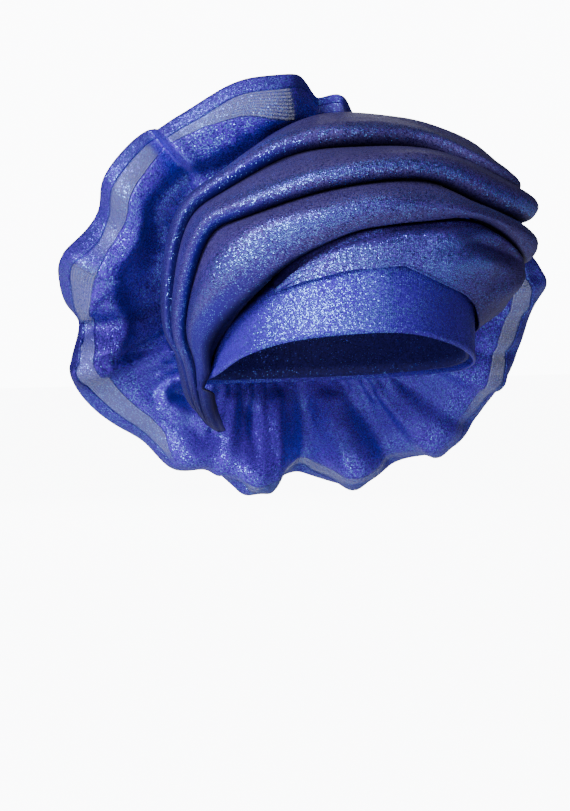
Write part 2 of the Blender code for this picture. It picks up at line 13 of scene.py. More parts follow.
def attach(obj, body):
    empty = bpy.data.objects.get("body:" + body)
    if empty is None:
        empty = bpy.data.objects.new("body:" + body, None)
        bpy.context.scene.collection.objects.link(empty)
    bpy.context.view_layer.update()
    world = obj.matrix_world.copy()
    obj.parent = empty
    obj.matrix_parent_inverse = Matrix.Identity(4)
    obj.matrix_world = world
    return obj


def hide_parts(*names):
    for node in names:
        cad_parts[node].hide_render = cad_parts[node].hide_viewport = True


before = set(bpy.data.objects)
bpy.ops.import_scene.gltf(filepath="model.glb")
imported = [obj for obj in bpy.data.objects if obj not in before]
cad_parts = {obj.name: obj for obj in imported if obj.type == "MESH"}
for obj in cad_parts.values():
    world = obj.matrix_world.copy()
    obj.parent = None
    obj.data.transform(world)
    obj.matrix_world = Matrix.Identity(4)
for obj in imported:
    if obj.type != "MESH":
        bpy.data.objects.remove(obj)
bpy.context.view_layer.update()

# Bearings in these values are in degrees from the front, up to where the ruffle starts. A pair such as
# BAND_SIDE gives where a change starts and how far it runs, and PLEAT_LEFT, PLEAT_FAR and SEAT_FADE give
# its two ends. A wall such as PLEAT_WALL is the solid's, and PLEAT_CLOTH is the cloth's as it is seen.

# Head opening and cap
HEAD_HALF_WIDTH = 0.076
HEAD_HALF_DEPTH = 0.096
CAP_WALL = 0.0020
CAP_HEIGHT = 0.092
CAP_BELOW = 0.110
CAP_RIM_LIFT = 0.003
SEAT_GAP = 0.0005
FACET_GAP = 0.0012
EDGE_ROOM = 0.005
EDGE_FADE = 0.008
EDGE_INSET = 0.024
CAP_SEAMS = 6
CAP_SEAM_DEPTH = 0.0008
CAP_SEAM_SPREAD = 0.06
CROWN_CLOSE = 0.02

# Forehead band
BAND_WALL = 0.0020
BAND_WIDTH = 0.038
BAND_LEAN = 0.002
BAND_DROP = 0.040
BAND_SEAM_BEARING = -4.0
BAND_SEAM_STEP = 0.0005
BAND_HEM = 0.0045
BAND_HEM_SWELL = 0.0005
BAND_TUCK_FADE = 0.003
BAND_CLOTH = 0.0014
BAND_WAVER = 0.0005
BAND_WAVER_SIZE = 0.022
BAND_MEAN_RADIUS = 0.09
BAND_WAVER_RISE = 0.03
BAND_SEAM_SPAN = 0.8
BAND_SEAM_END = -120.0
# Painted light on the band from here on: shade and fewer glints past the seam and far to one side, lit
# streaks of glitter, and shade where the band runs up under the lower pleat.
BAND_PLAIN_SPAN = 2.0
BAND_PLAIN_GLITTER_SHADE = 0.80
BAND_PLAIN_DARK = 0.15
BAND_STREAKS = 0.9
BAND_STREAK_SIZE = (0.03, 0.009)
BAND_STREAK_SLANT = 0.0015
BAND_SIDE = (-44.0, 12.0)
BAND_SIDE_GLITTER_SHADE = 0.6
BAND_TUCK_DARK = 0.95
BAND_TUCK_END = (-140.0, 25.0)

# Rolled pleats
WRAP_REACH = 0.100
WRAP_RISE = 0.100
PLEAT_WALL = 0.0014
PLEAT_CLOTH = 0.0009
VALLEY_DEPTH = 0.013
LIP_DROP = 0.0055
LIP_TUCK = 0.0035
VALLEY_SHARE = 0.8
FLAT_SHARE = 0.55
UNDERSIDE = 0.014
UNDER_RISE = 0.15
LEAST_ROOM = 0.0005
ROOM_ABOVE = (0.002, 0.010)
ROOM_BELOW = (0.005, 0.012)
LEAST_TURN = 0.0022
FACE_SWELL = 0.0025
VALLEY_TOUCH = 0.4
TUCK_AHEAD = 0.009
SEAT_FADE = (0.030, -0.030)
TAIL_DEPTH = 0.004
SHOULDER = 0.005
PLEAT_CREASE = 0.00025
PLEAT_WAVER = 0.0006
VALLEY_LIGHT = 0.35
PLEAT_LEFT = (-62.0, -28.0)
PLEAT_FAR = (-66.0, -96.0)
TAIL_ROUND = 26.0
TAIL_END = 0.30
# Painted shade of the pleats: at the tail, far to one side and at the lip.
TAIL_SHARES = (0.14, 0.07)
TAIL_SHADE = 0.45
TAIL_LEAST = 0.40
FAR_DARK = 0.35
FAR_ROYAL_SHADE = 0.6
LIP_SHADE = 0.04
VALLEY_POWER = 1.3
CREASE_SIZE = (0.060, 0.0055)
FINE_CREASE_SIZE = (0.025, 0.0024)
FINE_CREASE = 0.35
WAVER_SIZE = (0.030, 0.020)
PLEAT_EDGE_ROWS = 5
ROYAL_FADE = 0.004

# How much more the pleats are creased at the tail and at the other end: (times, share of the length)
GATHERED_ENDS = ((2.0, 0.18), (1.5, 0.10))

# Front drape
DRAPE_WALL = 0.0012
DRAPE_CLOTH = 0.0009
DRAPE_GAP = 0.0007
DRAPE_TUCK = 0.0003
DRAPE_HANG = 0.007
DRAPE_INSET = 0.009
DRAPE_SWELL = 0.006
DRAPE_RISE = 0.040
DRAPE_START = 4.2
DRAPE_LIT_GLITTER = 0.95
DRAPE_TOP_SHARE = 0.6
DRAPE_STRETCH = 1.15
# Painted light on the drape from here on: glints along the fold ridges, and shade at its top and toward
# positive bearings.
DRAPE_FOLD_HEIGHT = 0.004
DRAPE_LEFT = (-12.0, 28.0)
DRAPE_RIGHT = (14.0, 26.0)
DRAPE_RIGHT_GLITTER_SHADE = 0.75
DRAPE_RIGHT_DARK = 0.40
DRAPE_TUCK_DARK = (0.60, 0.36)
DRAPE_TUCK_PLACE = (0.80, 0.32, 0.14)
DRAPE_EDGE_DARK = 0.95
DRAPE_EDGE_PLACE = (0.87, 0.05)

# Unevenness of the drape: (size of a bump along and across, seed, height)
DRAPE_WAVERS = (((0.022, 0.009), 31, 0.0009), ((0.010, 0.0035), 32, 0.0003))

# Ruffle
RING_CENTRE = (0.006, 0.060, 0.025)
RING_TILT = math.radians(19.6)
RING_YAW = math.radians(-10.0)
RUFFLE_RADIUS = 0.150
RUFFLE_DEPTH = 0.030
RUFFLE_WALL = 0.0010
RUFFLE_CLOTH = 0.0007
HEM_WALL = 0.0012
OVER_BAND = 0.005
BAND_SEW = 0.001
SEARCH_REACH = 0.2
SEARCH_STEPS = 40
RUFFLE_ROOT_LIGHT = 0.85
GATHERS = 54
GATHER_DEPTH = 0.0011
DENT_DEPTH = 0.0012
CRUMPLE_DEPTH = 0.00012
DENT_SIZE = 0.032
CRUMPLE_SIZE = 0.009
STITCH_LIFT = 0.6
PROFILE_STEPS = 120

# Where the ruffle lies in shade: (bearing round the ruffle in degrees, half width, how dark)
RUFFLE_LOW = (196.0, 12.0, 0.45)

# How far apart the noise is read for one seed and the next
NOISE_STEP = (7.13, 3.71, 5.37)

# How finely each piece is divided
CAP_STEPS = (144, 30)
BAND_STEPS = (240, 16)
WRAP_STEPS = 320
PLEAT_ROWS = (36, 40, 56)
DRAPE_STEPS = 200
DRAPE_ROWS = 44
RUFFLE_STEPS = 760
BODY_ROWS = 44
SHEER_ROWS = 10
HEM_ROWS = 6

# Lower edge of the band at even steps round the opening, from the front toward the left side, each a share
# of BAND_DROP.
BAND_EDGE = (0.02, 0.19, 0.40, 0.56, 0.68, 0.76, 0.83, 0.90, 0.95,
             0.97, 0.96, 0.92, 0.85, 0.77, 0.70, 0.39, 0.16, 0.04)

# Where the band goes up out of the light under the lower pleat, at bearings from the front in degrees.
BAND_TUCK_BEARINGS = (-110, -85, -80, -75, -67, -61, -55, -50, -46, -38, -33)
BAND_TUCK_HEIGHTS = (-0.030, -0.028, -0.0245, -0.011, 0.001, 0.007, 0.013, 0.0185, 0.0225, 0.030, 0.040)

# Each line of the wrap runs from low behind the right side, over the front, to the left back. Every row is
# (bearing from the front in degrees, share of WRAP_REACH, share of WRAP_RISE).
LOWER_LIP = (
    (-107.5, 0.575, -0.66), (-95, 0.71, -0.485), (-77.2, 0.87, -0.20), (-66.8, 0.95, -0.002),
    (-45.9, 1.035, 0.27), (-33.6, 1.05, 0.425), (-20, 1.047, 0.535), (-6, 1.04, 0.59), (12, 1.04, 0.62),
    (31, 1.08, 0.60), (56, 1.15, 0.42), (77, 1.10, 0.34), (97, 1.00, 0.25))
LOWER_CREST = (
    (-110, 0.66, -0.625), (-95, 0.77, -0.45), (-78.6, 0.914, -0.16), (-71.1, 1.03, 0.06),
    (-56.4, 1.128, 0.355), (-43.8, 1.136, 0.55), (-27, 1.13, 0.645), (-9, 1.11, 0.70), (9, 1.10, 0.68),
    (28, 1.12, 0.63), (57, 1.20, 0.50), (77, 1.16, 0.44), (97, 1.05, 0.35))
MIDDLE_CREST = (
    (-112, 0.71, -0.59), (-97, 0.82, -0.42), (-84.8, 0.945, -0.18), (-81.7, 1.038, 0.05),
    (-70.8, 1.05, 0.518), (-56.1, 1.00, 0.707), (-31.6, 0.96, 0.85), (-6, 0.95, 0.93), (16, 0.98, 0.925),
    (35, 1.06, 0.825), (57, 1.20, 0.72), (76, 1.17, 0.67), (95, 1.05, 0.55))
UPPER_CREST = (
    (-115, 0.75, -0.55), (-102, 0.84, -0.40), (-94.5, 0.932, -0.16), (-93.8, 1.018, 0.06),
    (-89.7, 0.976, 0.598), (-78.3, 0.792, 0.858), (-52.6, 0.552, 1.077), (-6, 0.45, 1.15),
    (40, 0.56, 1.13), (52, 0.84, 1.01), (63, 1.09, 0.86), (80, 1.08, 0.80), (95, 1.00, 0.69))
CROWN_LINE = (
    (-120, 0.78, -0.51), (-110, 0.86, -0.38), (-104, 0.92, -0.13), (-106, 0.98, 0.08),
    (-105, 0.93, 0.55), (-101, 0.71, 0.83), (-106, 0.36, 1.09), (-90, 0.08, 1.22), (86, 0.27, 1.23),
    (82, 0.60, 1.18), (80, 0.86, 1.06), (90, 0.84, 0.98), (98, 0.80, 0.86))

# How deep the wrap is folded at each of the same places: (share under the lower lip, share of the valley
# under the middle pleat, share of the valley under the upper pleat).
FOLD_DEPTHS = (
    (0.1, 0.0, 0.0), (0.1, 0.1, 0.1), (0.45, 0.25, 0.2), (1.0, 0.45, 0.35),
    (1.0, 0.6, 0.5), (1.0, 0.8, 0.65), (1.0, 0.9, 0.8), (0.9, 1.0, 0.9), (0.7, 1.1, 0.7),
    (0.5, 1.3, 0.4), (0.5, 1.5, 0.3), (0.6, 1.3, 0.4), (0.7, 1.0, 0.6))

# Lower edge of the front drape over the band: (bearing in degrees, share of DRAPE_RISE, swell share, how
# far its top lies inside the lip as a share of DRAPE_INSET).
DRAPE_EDGE = (
    (-46, 0.50, 0.10, 1.0), (-33, 0.68, 0.12, 1.0), (-18, 0.84, 0.25, 0.6), (-1, 0.90, 0.50, 0.25),
    (8, 0.74, 0.75, 0.2), (17, 0.60, 0.85, 0.2), (28, 0.47, 0.80, 0.2), (36, 0.34, 0.75, 0.2),
    (44, 0.15, 0.70, 0.2), (54, 0.00, 0.65, 0.2), (70, -0.12, 0.60, 0.2), (90, -0.16, 0.60, 0.2),
    (108, -0.18, 0.50, 0.2))

# Folds of the ruffle, once round: (bearing of the gathered root, bearing of the hem, hem radius as a
# share of RUFFLE_RADIUS, forward share of the hem, forward share of the body, crease share).
RUFFLE_FOLDS = (
    (0, 2, 1.04, 0.30, 0.50, 0), (9, 10, 0.95, 0.20, 0.30, 0), (19, 19, 0.88, -0.20, 0.10, 0),
    (29, 29, 0.87, 0.30, 0.20, 0), (39, 39, 0.84, -0.30, 0.00, 0), (49, 50, 0.81, 0.20, 0.05, 0),
    (58, 60, 0.74, -0.30, 0.00, 0), (67, 70, 0.70, 0.05, 0.00, 0), (74, 78, 0.74, 0.10, 0.05, 0),
    (78, 83.5, 0.81, 0.30, 0.10, 0), (83, 88, 0.785, 0.10, 0.05, 0), (87, 91, 0.80, 0.15, 0.05, 0.1),
    (91, 94.5, 0.87, 0.30, 0.15, 0.4), (96, 98, 0.905, 0.50, 0.35, 0.8), (103, 104, 0.92, 0.60, 0.50, 1),
    (111, 112, 0.933, 0.62, 0.52, 1), (119, 122, 0.92, 0.62, 0.55, 1), (127, 130, 0.925, 0.62, 0.55, 1),
    (132, 133.5, 0.93, 0.60, 0.60, 1), (136, 135, 0.92, 0.20, 0.40, 1), (140, 138.5, 0.94, 0.25, 0.50, 1),
    (146, 143.5, 0.96, 0.45, 0.60, 1), (152, 151, 0.965, 0.60, 0.65, 1), (159, 158, 0.91, 0.30, 0.75, 1),
    (166, 165, 0.93, 0.35, 0.75, 0.9), (172, 171, 1.00, 0.55, 0.70, 0.8),
    (178, 178, 0.99, 0.20, 0.70, 0.8), (184, 185, 0.955, 0.10, 0.65, 0.8), (190, 191, 0.91, 0.00, 0.50, 0.7),
    (196, 196.5, 0.97, 0.45, 0.60, 0.6), (202, 202.5, 1.00, 0.50, 0.20, 0.6),
    (210, 209.5, 0.985, 0.50, 0.15, 0.5), (220, 219, 0.94, 0.45, 0.30, 0.2),
    (228, 228, 0.91, 0.40, 0.45, 0), (236, 237, 0.92, 0.60, 0.65, 0), (244, 245, 0.88, 0.35, 0.70, 0),
    (252, 252, 0.88, 0.45, 0.80, 0), (260, 259, 0.91, 0.70, 0.80, 0), (269, 268, 0.86, 0.25, 0.55, 0),
    (280, 278, 0.90, -0.20, 0.40, 0), (291, 290, 0.94, 0.40, 0.70, 0), (302, 302, 0.97, -0.10, 0.50, 0),
    (313, 314, 1.02, 0.30, 0.70, 0), (324, 325, 1.02, 0.10, 0.60, 0), (335, 337, 1.005, 0.30, 0.70, 0),
    (347, 349, 1.02, 0.00, 0.60, 0), (354, 356, 1.05, -0.05, 0.50, 0))

# Radial shape of the ruffle: (share of its width, share of the reach, share of the forward bulge).
SOFT_PROFILE = ((0.00, 0.00, 0.00), (0.25, 0.26, 0.15), (0.50, 0.52, 0.70), (0.66, 0.69, 1.00),
                (0.80, 0.82, 0.85), (1.00, 1.00, 0.00))
CREASED_PROFILE = ((0.00, 0.00, 0.00), (0.25, 0.26, -0.10), (0.50, 0.53, 0.10), (0.66, 0.68, 0.95),
                   (0.82, 0.83, 0.80), (1.00, 1.00, 0.00))

# Where the ruffle is see-through: (fold row, share of the width where the strip starts, share where the
# hem starts, how clear the strip is).
WINDOWS = (
    (0.0, 0.70, 0.86, 1.0), (2.0, 0.74, 0.90, 1.0), (4.0, 0.78, 0.91, 0.9), (7.0, 0.80, 0.91, 0.6),
    (10.0, 0.80, 0.90, 0.3), (12.4, 0.76, 0.90, 0.0), (13.1, 0.62, 0.90, 0.0), (13.3, 0.59, 0.90, 1.0),
    (14.4, 0.68, 0.91, 1.0), (15.2, 0.765, 0.92, 1.0), (16.2, 0.85, 0.92, 1.0), (17.5, 0.885, 0.93, 1.0),
    (17.9, 0.89, 0.93, 0.0), (19.6, 0.84, 0.93, 0.0), (20.0, 0.825, 0.931, 1.0), (21.3, 0.812, 0.931, 1.0),
    (22.4, 0.794, 0.938, 1.0), (23.4, 0.83, 0.932, 0.9), (24.1, 0.82, 0.90, 0.8), (24.7, 0.78, 0.90, 0.1),
    (25.2, 0.763, 0.93, 1.0), (26.4, 0.794, 0.93, 1.0), (27.6, 0.88, 0.955, 1.0), (28.2, 0.90, 0.96, 0.2),
    (28.7, 0.86, 0.955, 0.9), (29.3, 0.84, 0.94, 0.7), (29.6, 0.80, 0.93, 1.0), (29.9, 0.744, 0.925, 1.0),
    (31.1, 0.725, 0.894, 1.0), (32.2, 0.70, 0.88, 1.0), (33.0, 0.725, 0.906, 1.0), (33.4, 0.81, 0.895, 1.0),
    (33.8, 0.86, 0.92, 0.0), (36.0, 0.82, 0.92, 0.0), (36.6, 0.78, 0.92, 1.0), (39.5, 0.76, 0.91, 1.0),
    (41.0, 0.80, 0.92, 0.6), (42.5, 0.80, 0.92, 0.3), (43.4, 0.765, 0.91, 1.0), (44.2, 0.715, 0.885, 1.0),
    (45.3, 0.73, 0.895, 1.0), (46.8, 0.70, 0.86, 1.0), (47.0, 0.70, 0.86, 1.0))

# Creases of the ruffle: (height in metres, width to the left of the line, width to its right, line of
# points (bearing round the ruffle in degrees, share of its width)).
RUFFLE_CREASES = (
    (0.0070, 0.0025, 0.0160, ((199, 1.00), (200.3, 0.71), (204.9, 0.48), (206, 0.37), (207, 0.28))),
    (0.0060, 0.0100, 0.0030, ((219.3, 0.30), (217.7, 0.41), (218.1, 0.49), (221.5, 0.54), (226.3, 0.53),
                              (231.5, 0.43), (238.5, 0.40))),
    (-0.0060, 0.0060, 0.0060, ((221, 0.40), (227, 0.34))),
    (0.0016, 0.0016, 0.0020, ((212.5, 0.42), (219.8, 0.27))),
    (0.0014, 0.0016, 0.0020, ((209, 0.40), (216, 0.24))),
    (0.0035, 0.0080, 0.0020, ((192, 0.98), (180.9, 0.775), (175.5, 0.66))),
    (0.0022, 0.0080, 0.0014, ((170.8, 0.97), (171.2, 0.86), (172.7, 0.73))),
    (-0.0050, 0.0100, 0.0100, ((140, 0.48), (148, 0.52), (155, 0.47), (162, 0.40), (172, 0.33))),
    (0.0120, 0.0100, 0.0100, ((112, 0.47), (120, 0.48), (128, 0.47), (136, 0.43), (146, 0.34))),
    (0.004, 0.006, 0.006, ((247, 0.20), (248, 0.85))), (-0.004, 0.005, 0.005, ((256, 0.25), (255, 0.95))),
    (0.004, 0.007, 0.005, ((266, 0.20), (263, 0.90))), (-0.0035, 0.006, 0.006, ((277, 0.30), (275, 1.00))),
    (0.0045, 0.006, 0.008, ((287, 0.20), (288, 0.90))), (-0.003, 0.005, 0.005, ((298, 0.30), (300, 0.95))),
    (0.004, 0.007, 0.005, ((309, 0.20), (311, 0.90))), (-0.003, 0.005, 0.006, ((319, 0.30), (322, 1.00))),
    (0.004, 0.008, 0.005, ((330, 0.20), (334, 0.90))), (-0.0035, 0.005, 0.005, ((341, 0.30), (343, 0.95))),
    (0.003, 0.006, 0.005, ((352, 0.25), (355, 0.90))), (-0.003, 0.005, 0.005, ((3, 0.30), (4, 0.95))),
    (0.0035, 0.006, 0.006, ((14, 0.25), (15, 0.90))), (-0.003, 0.006, 0.006, ((24, 0.30), (24, 1.00))),
    (0.003, 0.006, 0.006, ((34, 0.25), (35, 0.90))), (0.003, 0.006, 0.006, ((54, 0.25), (56, 0.90))))

# Painted light on the lower, middle and upper pleat, in metres up from the lip: (start of the painted dark
# edge, its height, height of the violet-blue painted shade underneath, height of the painted highlight
# glitter, half its width, least glitter).
PLEAT_LIGHT = ((-0.0025, 0.0055, 0.0150, 0.0260, 0.0125, 0.14),
               (-0.0080, 0.0000, 0.0040, 0.0090, 0.0065, 0.13),
               (-0.0080, 0.0000, 0.0040, 0.0090, 0.0065, 0.13))

# Soft folds of the front drape: (start bearing in degrees, share of its height, end bearing, share of its
# height, width in metres, height in metres).
DRAPE_RIDGES = (
    (52, 0.80, 10, 0.52, 0.0050, 0.0040), (46, 0.52, 14, 0.30, 0.0048, 0.0038),
    (50, 0.66, 12, 0.42, 0.0036, -0.0028), (34, 0.34, -6, 0.70, 0.0045, 0.0022),
    (66, 0.62, 40, 0.20, 0.0060, 0.0022), (78, 0.60, 62, 0.12, 0.0060, 0.0020),
    (92, 0.70, 80, 0.10, 0.0055, 0.0020), (6, 0.86, -30, 0.70, 0.0032, -0.0010))

# Finishes: (deep colour, lit colour, how many threads glitter, share of the mauve painted sheen where the
# cloth faces up, roughness).
FINISHES = {
    "cap_cloth": ((0.008, 0.004, 0.080), (0.020, 0.012, 0.170), 0.04, 0.00, 0.60),
    "band_cloth": ((0.024, 0.006, 0.270), (0.062, 0.018, 0.600), 0.80, 0.10, 0.50),
    "drape_cloth": ((0.018, 0.006, 0.110), (0.090, 0.036, 0.460), 0.86, 0.35, 0.50),
    "pleat_cloth": ((0.012, 0.004, 0.080), (0.088, 0.042, 0.400), 0.90, 0.85, 0.50),
    "ruffle_cloth": ((0.028, 0.005, 0.240), (0.110, 0.030, 0.720), 0.50, 0.10, 0.50),
    "hem_cloth": ((0.020, 0.006, 0.200), (0.076, 0.030, 0.520), 0.52, 0.15, 0.50)}
FLAKE_DIM = (0.075, 0.070, 0.560)
FLAKE_BRIGHT = (0.170, 0.420, 1.000)
FLAKE_GLOSS = 0.34
FLAKE_CORE = 0.44
# Near-black blue painted where the shade mark is low: painted shade in valleys, tucks and under the rolls.
PAINTED_SHADE_COLOUR = (0.0010, 0.0006, 0.0110)
# Violet-blue painted shade for the undersides of the pleats and for their far side.
ROYAL_SHADE = (0.022, 0.006, 0.250)
# Mauve painted sheen, laid where the cloth faces up.
MAUVE_SHEEN = (0.092, 0.078, 0.205)
FLAKE_SIZE = 0.00058
FLAKE_TILT = 0.62
FLAKE_PATCHES = 1.2
FLAKE_EVEN = 0.4
SPARK_POWER = 1.6
GROUND_TILT = 0.10
GROUND_METAL = 0.20
CLOTH_SHEEN = {"Specular IOR Level": 0.22, "Sheen Weight": 0.02, "Sheen Roughness": 0.35,
               "Sheen Tint": (0.55, 0.55, 0.85, 1.0)}
THREAD_PITCH = 0.0011
THREAD_RELIEF = 0.0002
UNEVEN_SCALE = 700.0
PATCH_SCALE = 38.0
SHEER_COLOUR = (0.062, 0.064, 0.300)
SHEER_COVER = 0.91
SHEER_UNEVEN = 0.16
SHEER_LIGHTEN = 1.35

# Stitching
STITCH_LENGTH = 0.0024
STITCH_PITCH = 0.0036
STITCH_THICKNESS = 0.0003
STITCH_DARK = (0.006, 0.010, 0.120)
STITCH_LIGHT = (0.020, 0.035, 0.300)
TWIST_SCALE = 2500.0

# Studio: (name, bearing from the front in degrees, height angle in degrees, distance, size, watts)
LAMPS = (
    ("key_lamp", -66, 20, 1.5, 0.60, 31), ("front_lamp", -14, 8, 1.8, 1.20, 8),
    ("top_lamp", -30, 70, 1.5, 0.60, 3.2), ("back_lamp", 165, 12, 1.9, 1.00, 8))
SURROUND = (0.93, 0.945, 0.97)
SURROUND_LIGHT = 0.05
SURROUND_SEEN = 12.0
FLOOR_HEIGHT = -0.32
FLOOR_SIZE = 9.0
FLOOR_GLOW = 10.5

# Camera, as the photograph was taken
VIEW_BEARING = math.radians(-23.0)
VIEW_RISE = math.radians(4.0)
VIEW_DISTANCE = 1.3
LENS = 98.1
AIM_ACROSS = -0.0265
AIM_UP = -0.0468


def unit(vectors):
    """Vectors scaled to length one."""
    return vectors / np.maximum(np.linalg.norm(vectors, axis=-1, keepdims=True), 1e-12)


def spline(rows, at):
    """Natural cubic spline through evenly numbered rows, read at row numbers."""
    rows = np.asarray(rows, dtype=float)
    at = np.asarray(at, dtype=float)
    count = len(rows)
    matrix = np.eye(count)
    right = np.zeros_like(rows)
    for i in range(1, count - 1):
        matrix[i, i - 1:i + 2] = (1.0, 4.0, 1.0)
        right[i] = 6.0 * (rows[i + 1] - 2.0 * rows[i] + rows[i - 1])
    bend = np.linalg.solve(matrix, right)
    low = np.clip(np.floor(at).astype(int), 0, count - 2)
    t = (at - low).reshape((-1,) + (1,) * (rows.ndim - 1))
    return (rows[low] * (1 - t) + rows[low + 1] * t
            + bend[low] * ((1 - t) ** 3 - (1 - t)) / 6.0 + bend[low + 1] * (t ** 3 - t) / 6.0)


def bent(points, at):
    """Smooth curve through unevenly spaced points, read at point numbers."""
    points = np.asarray(points, dtype=float)
    count = len(points)
    knots = np.concatenate([[0.0], np.cumsum(np.sqrt(np.linalg.norm(np.diff(points, axis=0), axis=1)))])
    gaps = np.diff(knots)
    matrix = np.eye(count)
    right = np.zeros_like(points)
    for i in range(1, count - 1):
        matrix[i, i - 1:i + 2] = (gaps[i - 1], 2.0 * (gaps[i - 1] + gaps[i]), gaps[i])
        right[i] = 6.0 * ((points[i + 1] - points[i]) / gaps[i] - (points[i] - points[i - 1]) / gaps[i - 1])
    bend = np.linalg.solve(matrix, right)
    low = np.clip(np.floor(at).astype(int), 0, count - 2)
    gap = gaps[low][:, None]
    t = (at - low)[:, None]
    return (points[low] * (1 - t) + points[low + 1] * t
            + gap ** 2 / 6.0 * (bend[low] * ((1 - t) ** 3 - (1 - t)) + bend[low + 1] * (t ** 3 - t)))


def wrap_line(rows, at):
    """Points of one wrap line from its bearings and shares."""
    rows = np.asarray(rows, dtype=float)
    bearing = np.radians(rows[:, 0])
    reach = rows[:, 1] * WRAP_REACH
    points = np.stack([reach * np.sin(bearing), -reach * np.cos(bearing), rows[:, 2] * WRAP_RISE], axis=1)
    return spline(points, at)


def oval(bearing, grow):
    """Horizontal reach of the head oval, grown outward, at a bearing from the front."""
    across = np.sin(bearing) / (HEAD_HALF_WIDTH + grow)
    along = np.cos(bearing) / (HEAD_HALF_DEPTH + grow)
    return 1.0 / np.sqrt(across ** 2 + along ** 2)


def band_drop(bearing):
    """Height of the band's lower edge, level at the forehead and lower behind."""
    shares = np.asarray(BAND_EDGE)
    count = len(shares)
    at = np.asarray(bearing) / (2.0 * math.pi) * count
    low = np.floor(at).astype(int)
    t = at - low
    before, here, after, beyond = (shares[(low + step) % count] for step in (-1, 0, 1, 2))
    curve = 2.0 * before - 5.0 * here + 4.0 * after - beyond + t * (3.0 * (here - after) + beyond - before)
    return -BAND_DROP * (here + t / 2.0 * (after - before + t * curve))


def cap_scale(height):
    """How much the cap narrows at a height."""
    tall = np.where(height > 0, CAP_HEIGHT, CAP_BELOW)
    return np.sqrt(np.clip(1.0 - (height / tall) ** 2, 0.0, 1.0))


def bearing_of(point):
    """Bearing of a point from the front."""
    return math.atan2(point[0], -point[1])


def facing(bearing):
    """Level direction at a bearing from the front."""
    return np.array([math.sin(bearing), -math.cos(bearing), 0.0])


def grid_normals(grid, loop):
    """Unit normals of a grid of points."""
    if loop:
        along = np.roll(grid, -1, axis=0) - np.roll(grid, 1, axis=0)
    else:
        along = np.gradient(grid, axis=0)
    return unit(np.cross(along, np.gradient(grid, axis=1)))


def lengths(points):
    """Distance along a line of points."""
    return np.concatenate([[0.0], np.cumsum(np.linalg.norm(np.diff(points, axis=0), axis=1))])


def cloth_places(grid, loop):
    """Flat place of every grid point on the cloth, in metres, with one more row where the grid closes."""
    middle = grid.shape[1] // 2
    line = np.concatenate([grid[:, middle], grid[:1, middle]]) if loop else grid[:, middle]
    along = lengths(line)
    across = lengths(grid[grid.shape[0] // 2])
    return np.stack(np.meshgrid(along, across, indexing="ij"), axis=-1)


def soft_noise(places, size, seed):
    """Smooth uneven values, about one bump to each size, at an array of places."""
    flat = np.asarray(places, dtype=float) / np.asarray(size, dtype=float)
    if flat.shape[-1] == 2:
        flat = np.concatenate([flat, np.full(flat.shape[:-1] + (1,), 0.0)], axis=-1)
    flat = flat + seed * np.array(NOISE_STEP)
    values = [noise.noise(Vector(point)) for point in flat.reshape(-1, 3)]
    return np.array(values).reshape(flat.shape[:-1])


def edge_fade(count, ends):
    """Shares that fall to nothing over some rows at each end."""
    places = np.arange(count)
    near = np.minimum(places, count - 1 - places) / ends
    return np.clip(near, 0.0, 1.0) ** 0.5


def cloth(name, grid, wall, loop=False, normals=None, marks=None, flat=None):
    """Closed sheet of one thickness about a grid of points, with its flat places as the UV map."""
    rows, columns = grid.shape[:2]
    if normals is None:
        normals = grid_normals(grid, loop)
    half = normals * wall / 2.0
    points = np.concatenate([(grid + half).reshape(-1, 3), (grid - half).reshape(-1, 3)])
    spans = rows if loop else rows - 1
    i, j = np.meshgrid(np.arange(spans), np.arange(columns - 1), indexing="ij")
    i, j = i.ravel(), j.ravel()
    k, zero = np.arange(spans), np.zeros(spans, dtype=int)
    end = zero + columns - 1

    def quad(*corners):
        """Quads from four corners, each a row, a column and a side of the wall."""
        return np.stack([np.stack([np.broadcast_to(c, corner[0].shape) for c in corner], axis=-1)
                         for corner in corners], axis=1)

    quads = [quad((i, j, 0), (i + 1, j, 0), (i + 1, j + 1, 0), (i, j + 1, 0)),
             quad((i, j, 1), (i, j + 1, 1), (i + 1, j + 1, 1), (i + 1, j, 1)),
             quad((k, zero, 0), (k, zero, 1), (k + 1, zero, 1), (k + 1, zero, 0)),
             quad((k, end, 0), (k + 1, end, 0), (k + 1, end, 1), (k, end, 1))]
    if not loop:
        m = np.arange(columns - 1)
        first, last = m * 0, m * 0 + rows - 1
        quads.append(quad((first, m, 0), (first, m + 1, 0), (first, m + 1, 1), (first, m, 1)))
        quads.append(quad((last, m, 0), (last, m, 1), (last, m + 1, 1), (last, m + 1, 0)))
    quads = np.concatenate(quads)
    corners = (quads[..., 0] % rows) * columns + quads[..., 1] + quads[..., 2] * rows * columns
    a, b, c, d = (points[corners[:, n]] for n in range(4))
    volume = np.sum(a * np.cross(b, c)) + np.sum(a * np.cross(c, d))
    if volume < 0:
        quads = quads[:, ::-1]
        corners = corners[:, ::-1]
    if flat is None:
        flat = cloth_places(grid, loop)
    item = mesh_object(name, points, corners.tolist())
    layer = item.data.uv_layers.new(name="cloth")
    layer.data.foreach_set("uv", flat[quads[..., 0], quads[..., 1]].reshape(-1))
    # Marks that the materials read, all painted light: painted shade, a glitter share raised where light
    # catches (painted highlight), and a violet-blue painted shade.
    for mark, values in {"shade": 1.0, "lit_glitter": 1.0, "royal_shade": 0.0, **(marks or {})}.items():
        attribute = item.data.attributes.new(mark, "FLOAT", "POINT")
        values = np.broadcast_to(np.asarray(values, dtype=float), (rows, columns))
        attribute.data.foreach_set("value", np.tile(values.ravel(), 2))
    return item


def in_scene(name, data):
    """Object of a mesh, curve, lamp or camera, in the scene."""
    item = bpy.data.objects.new(name, data)
    bpy.context.scene.collection.objects.link(item)
    return item


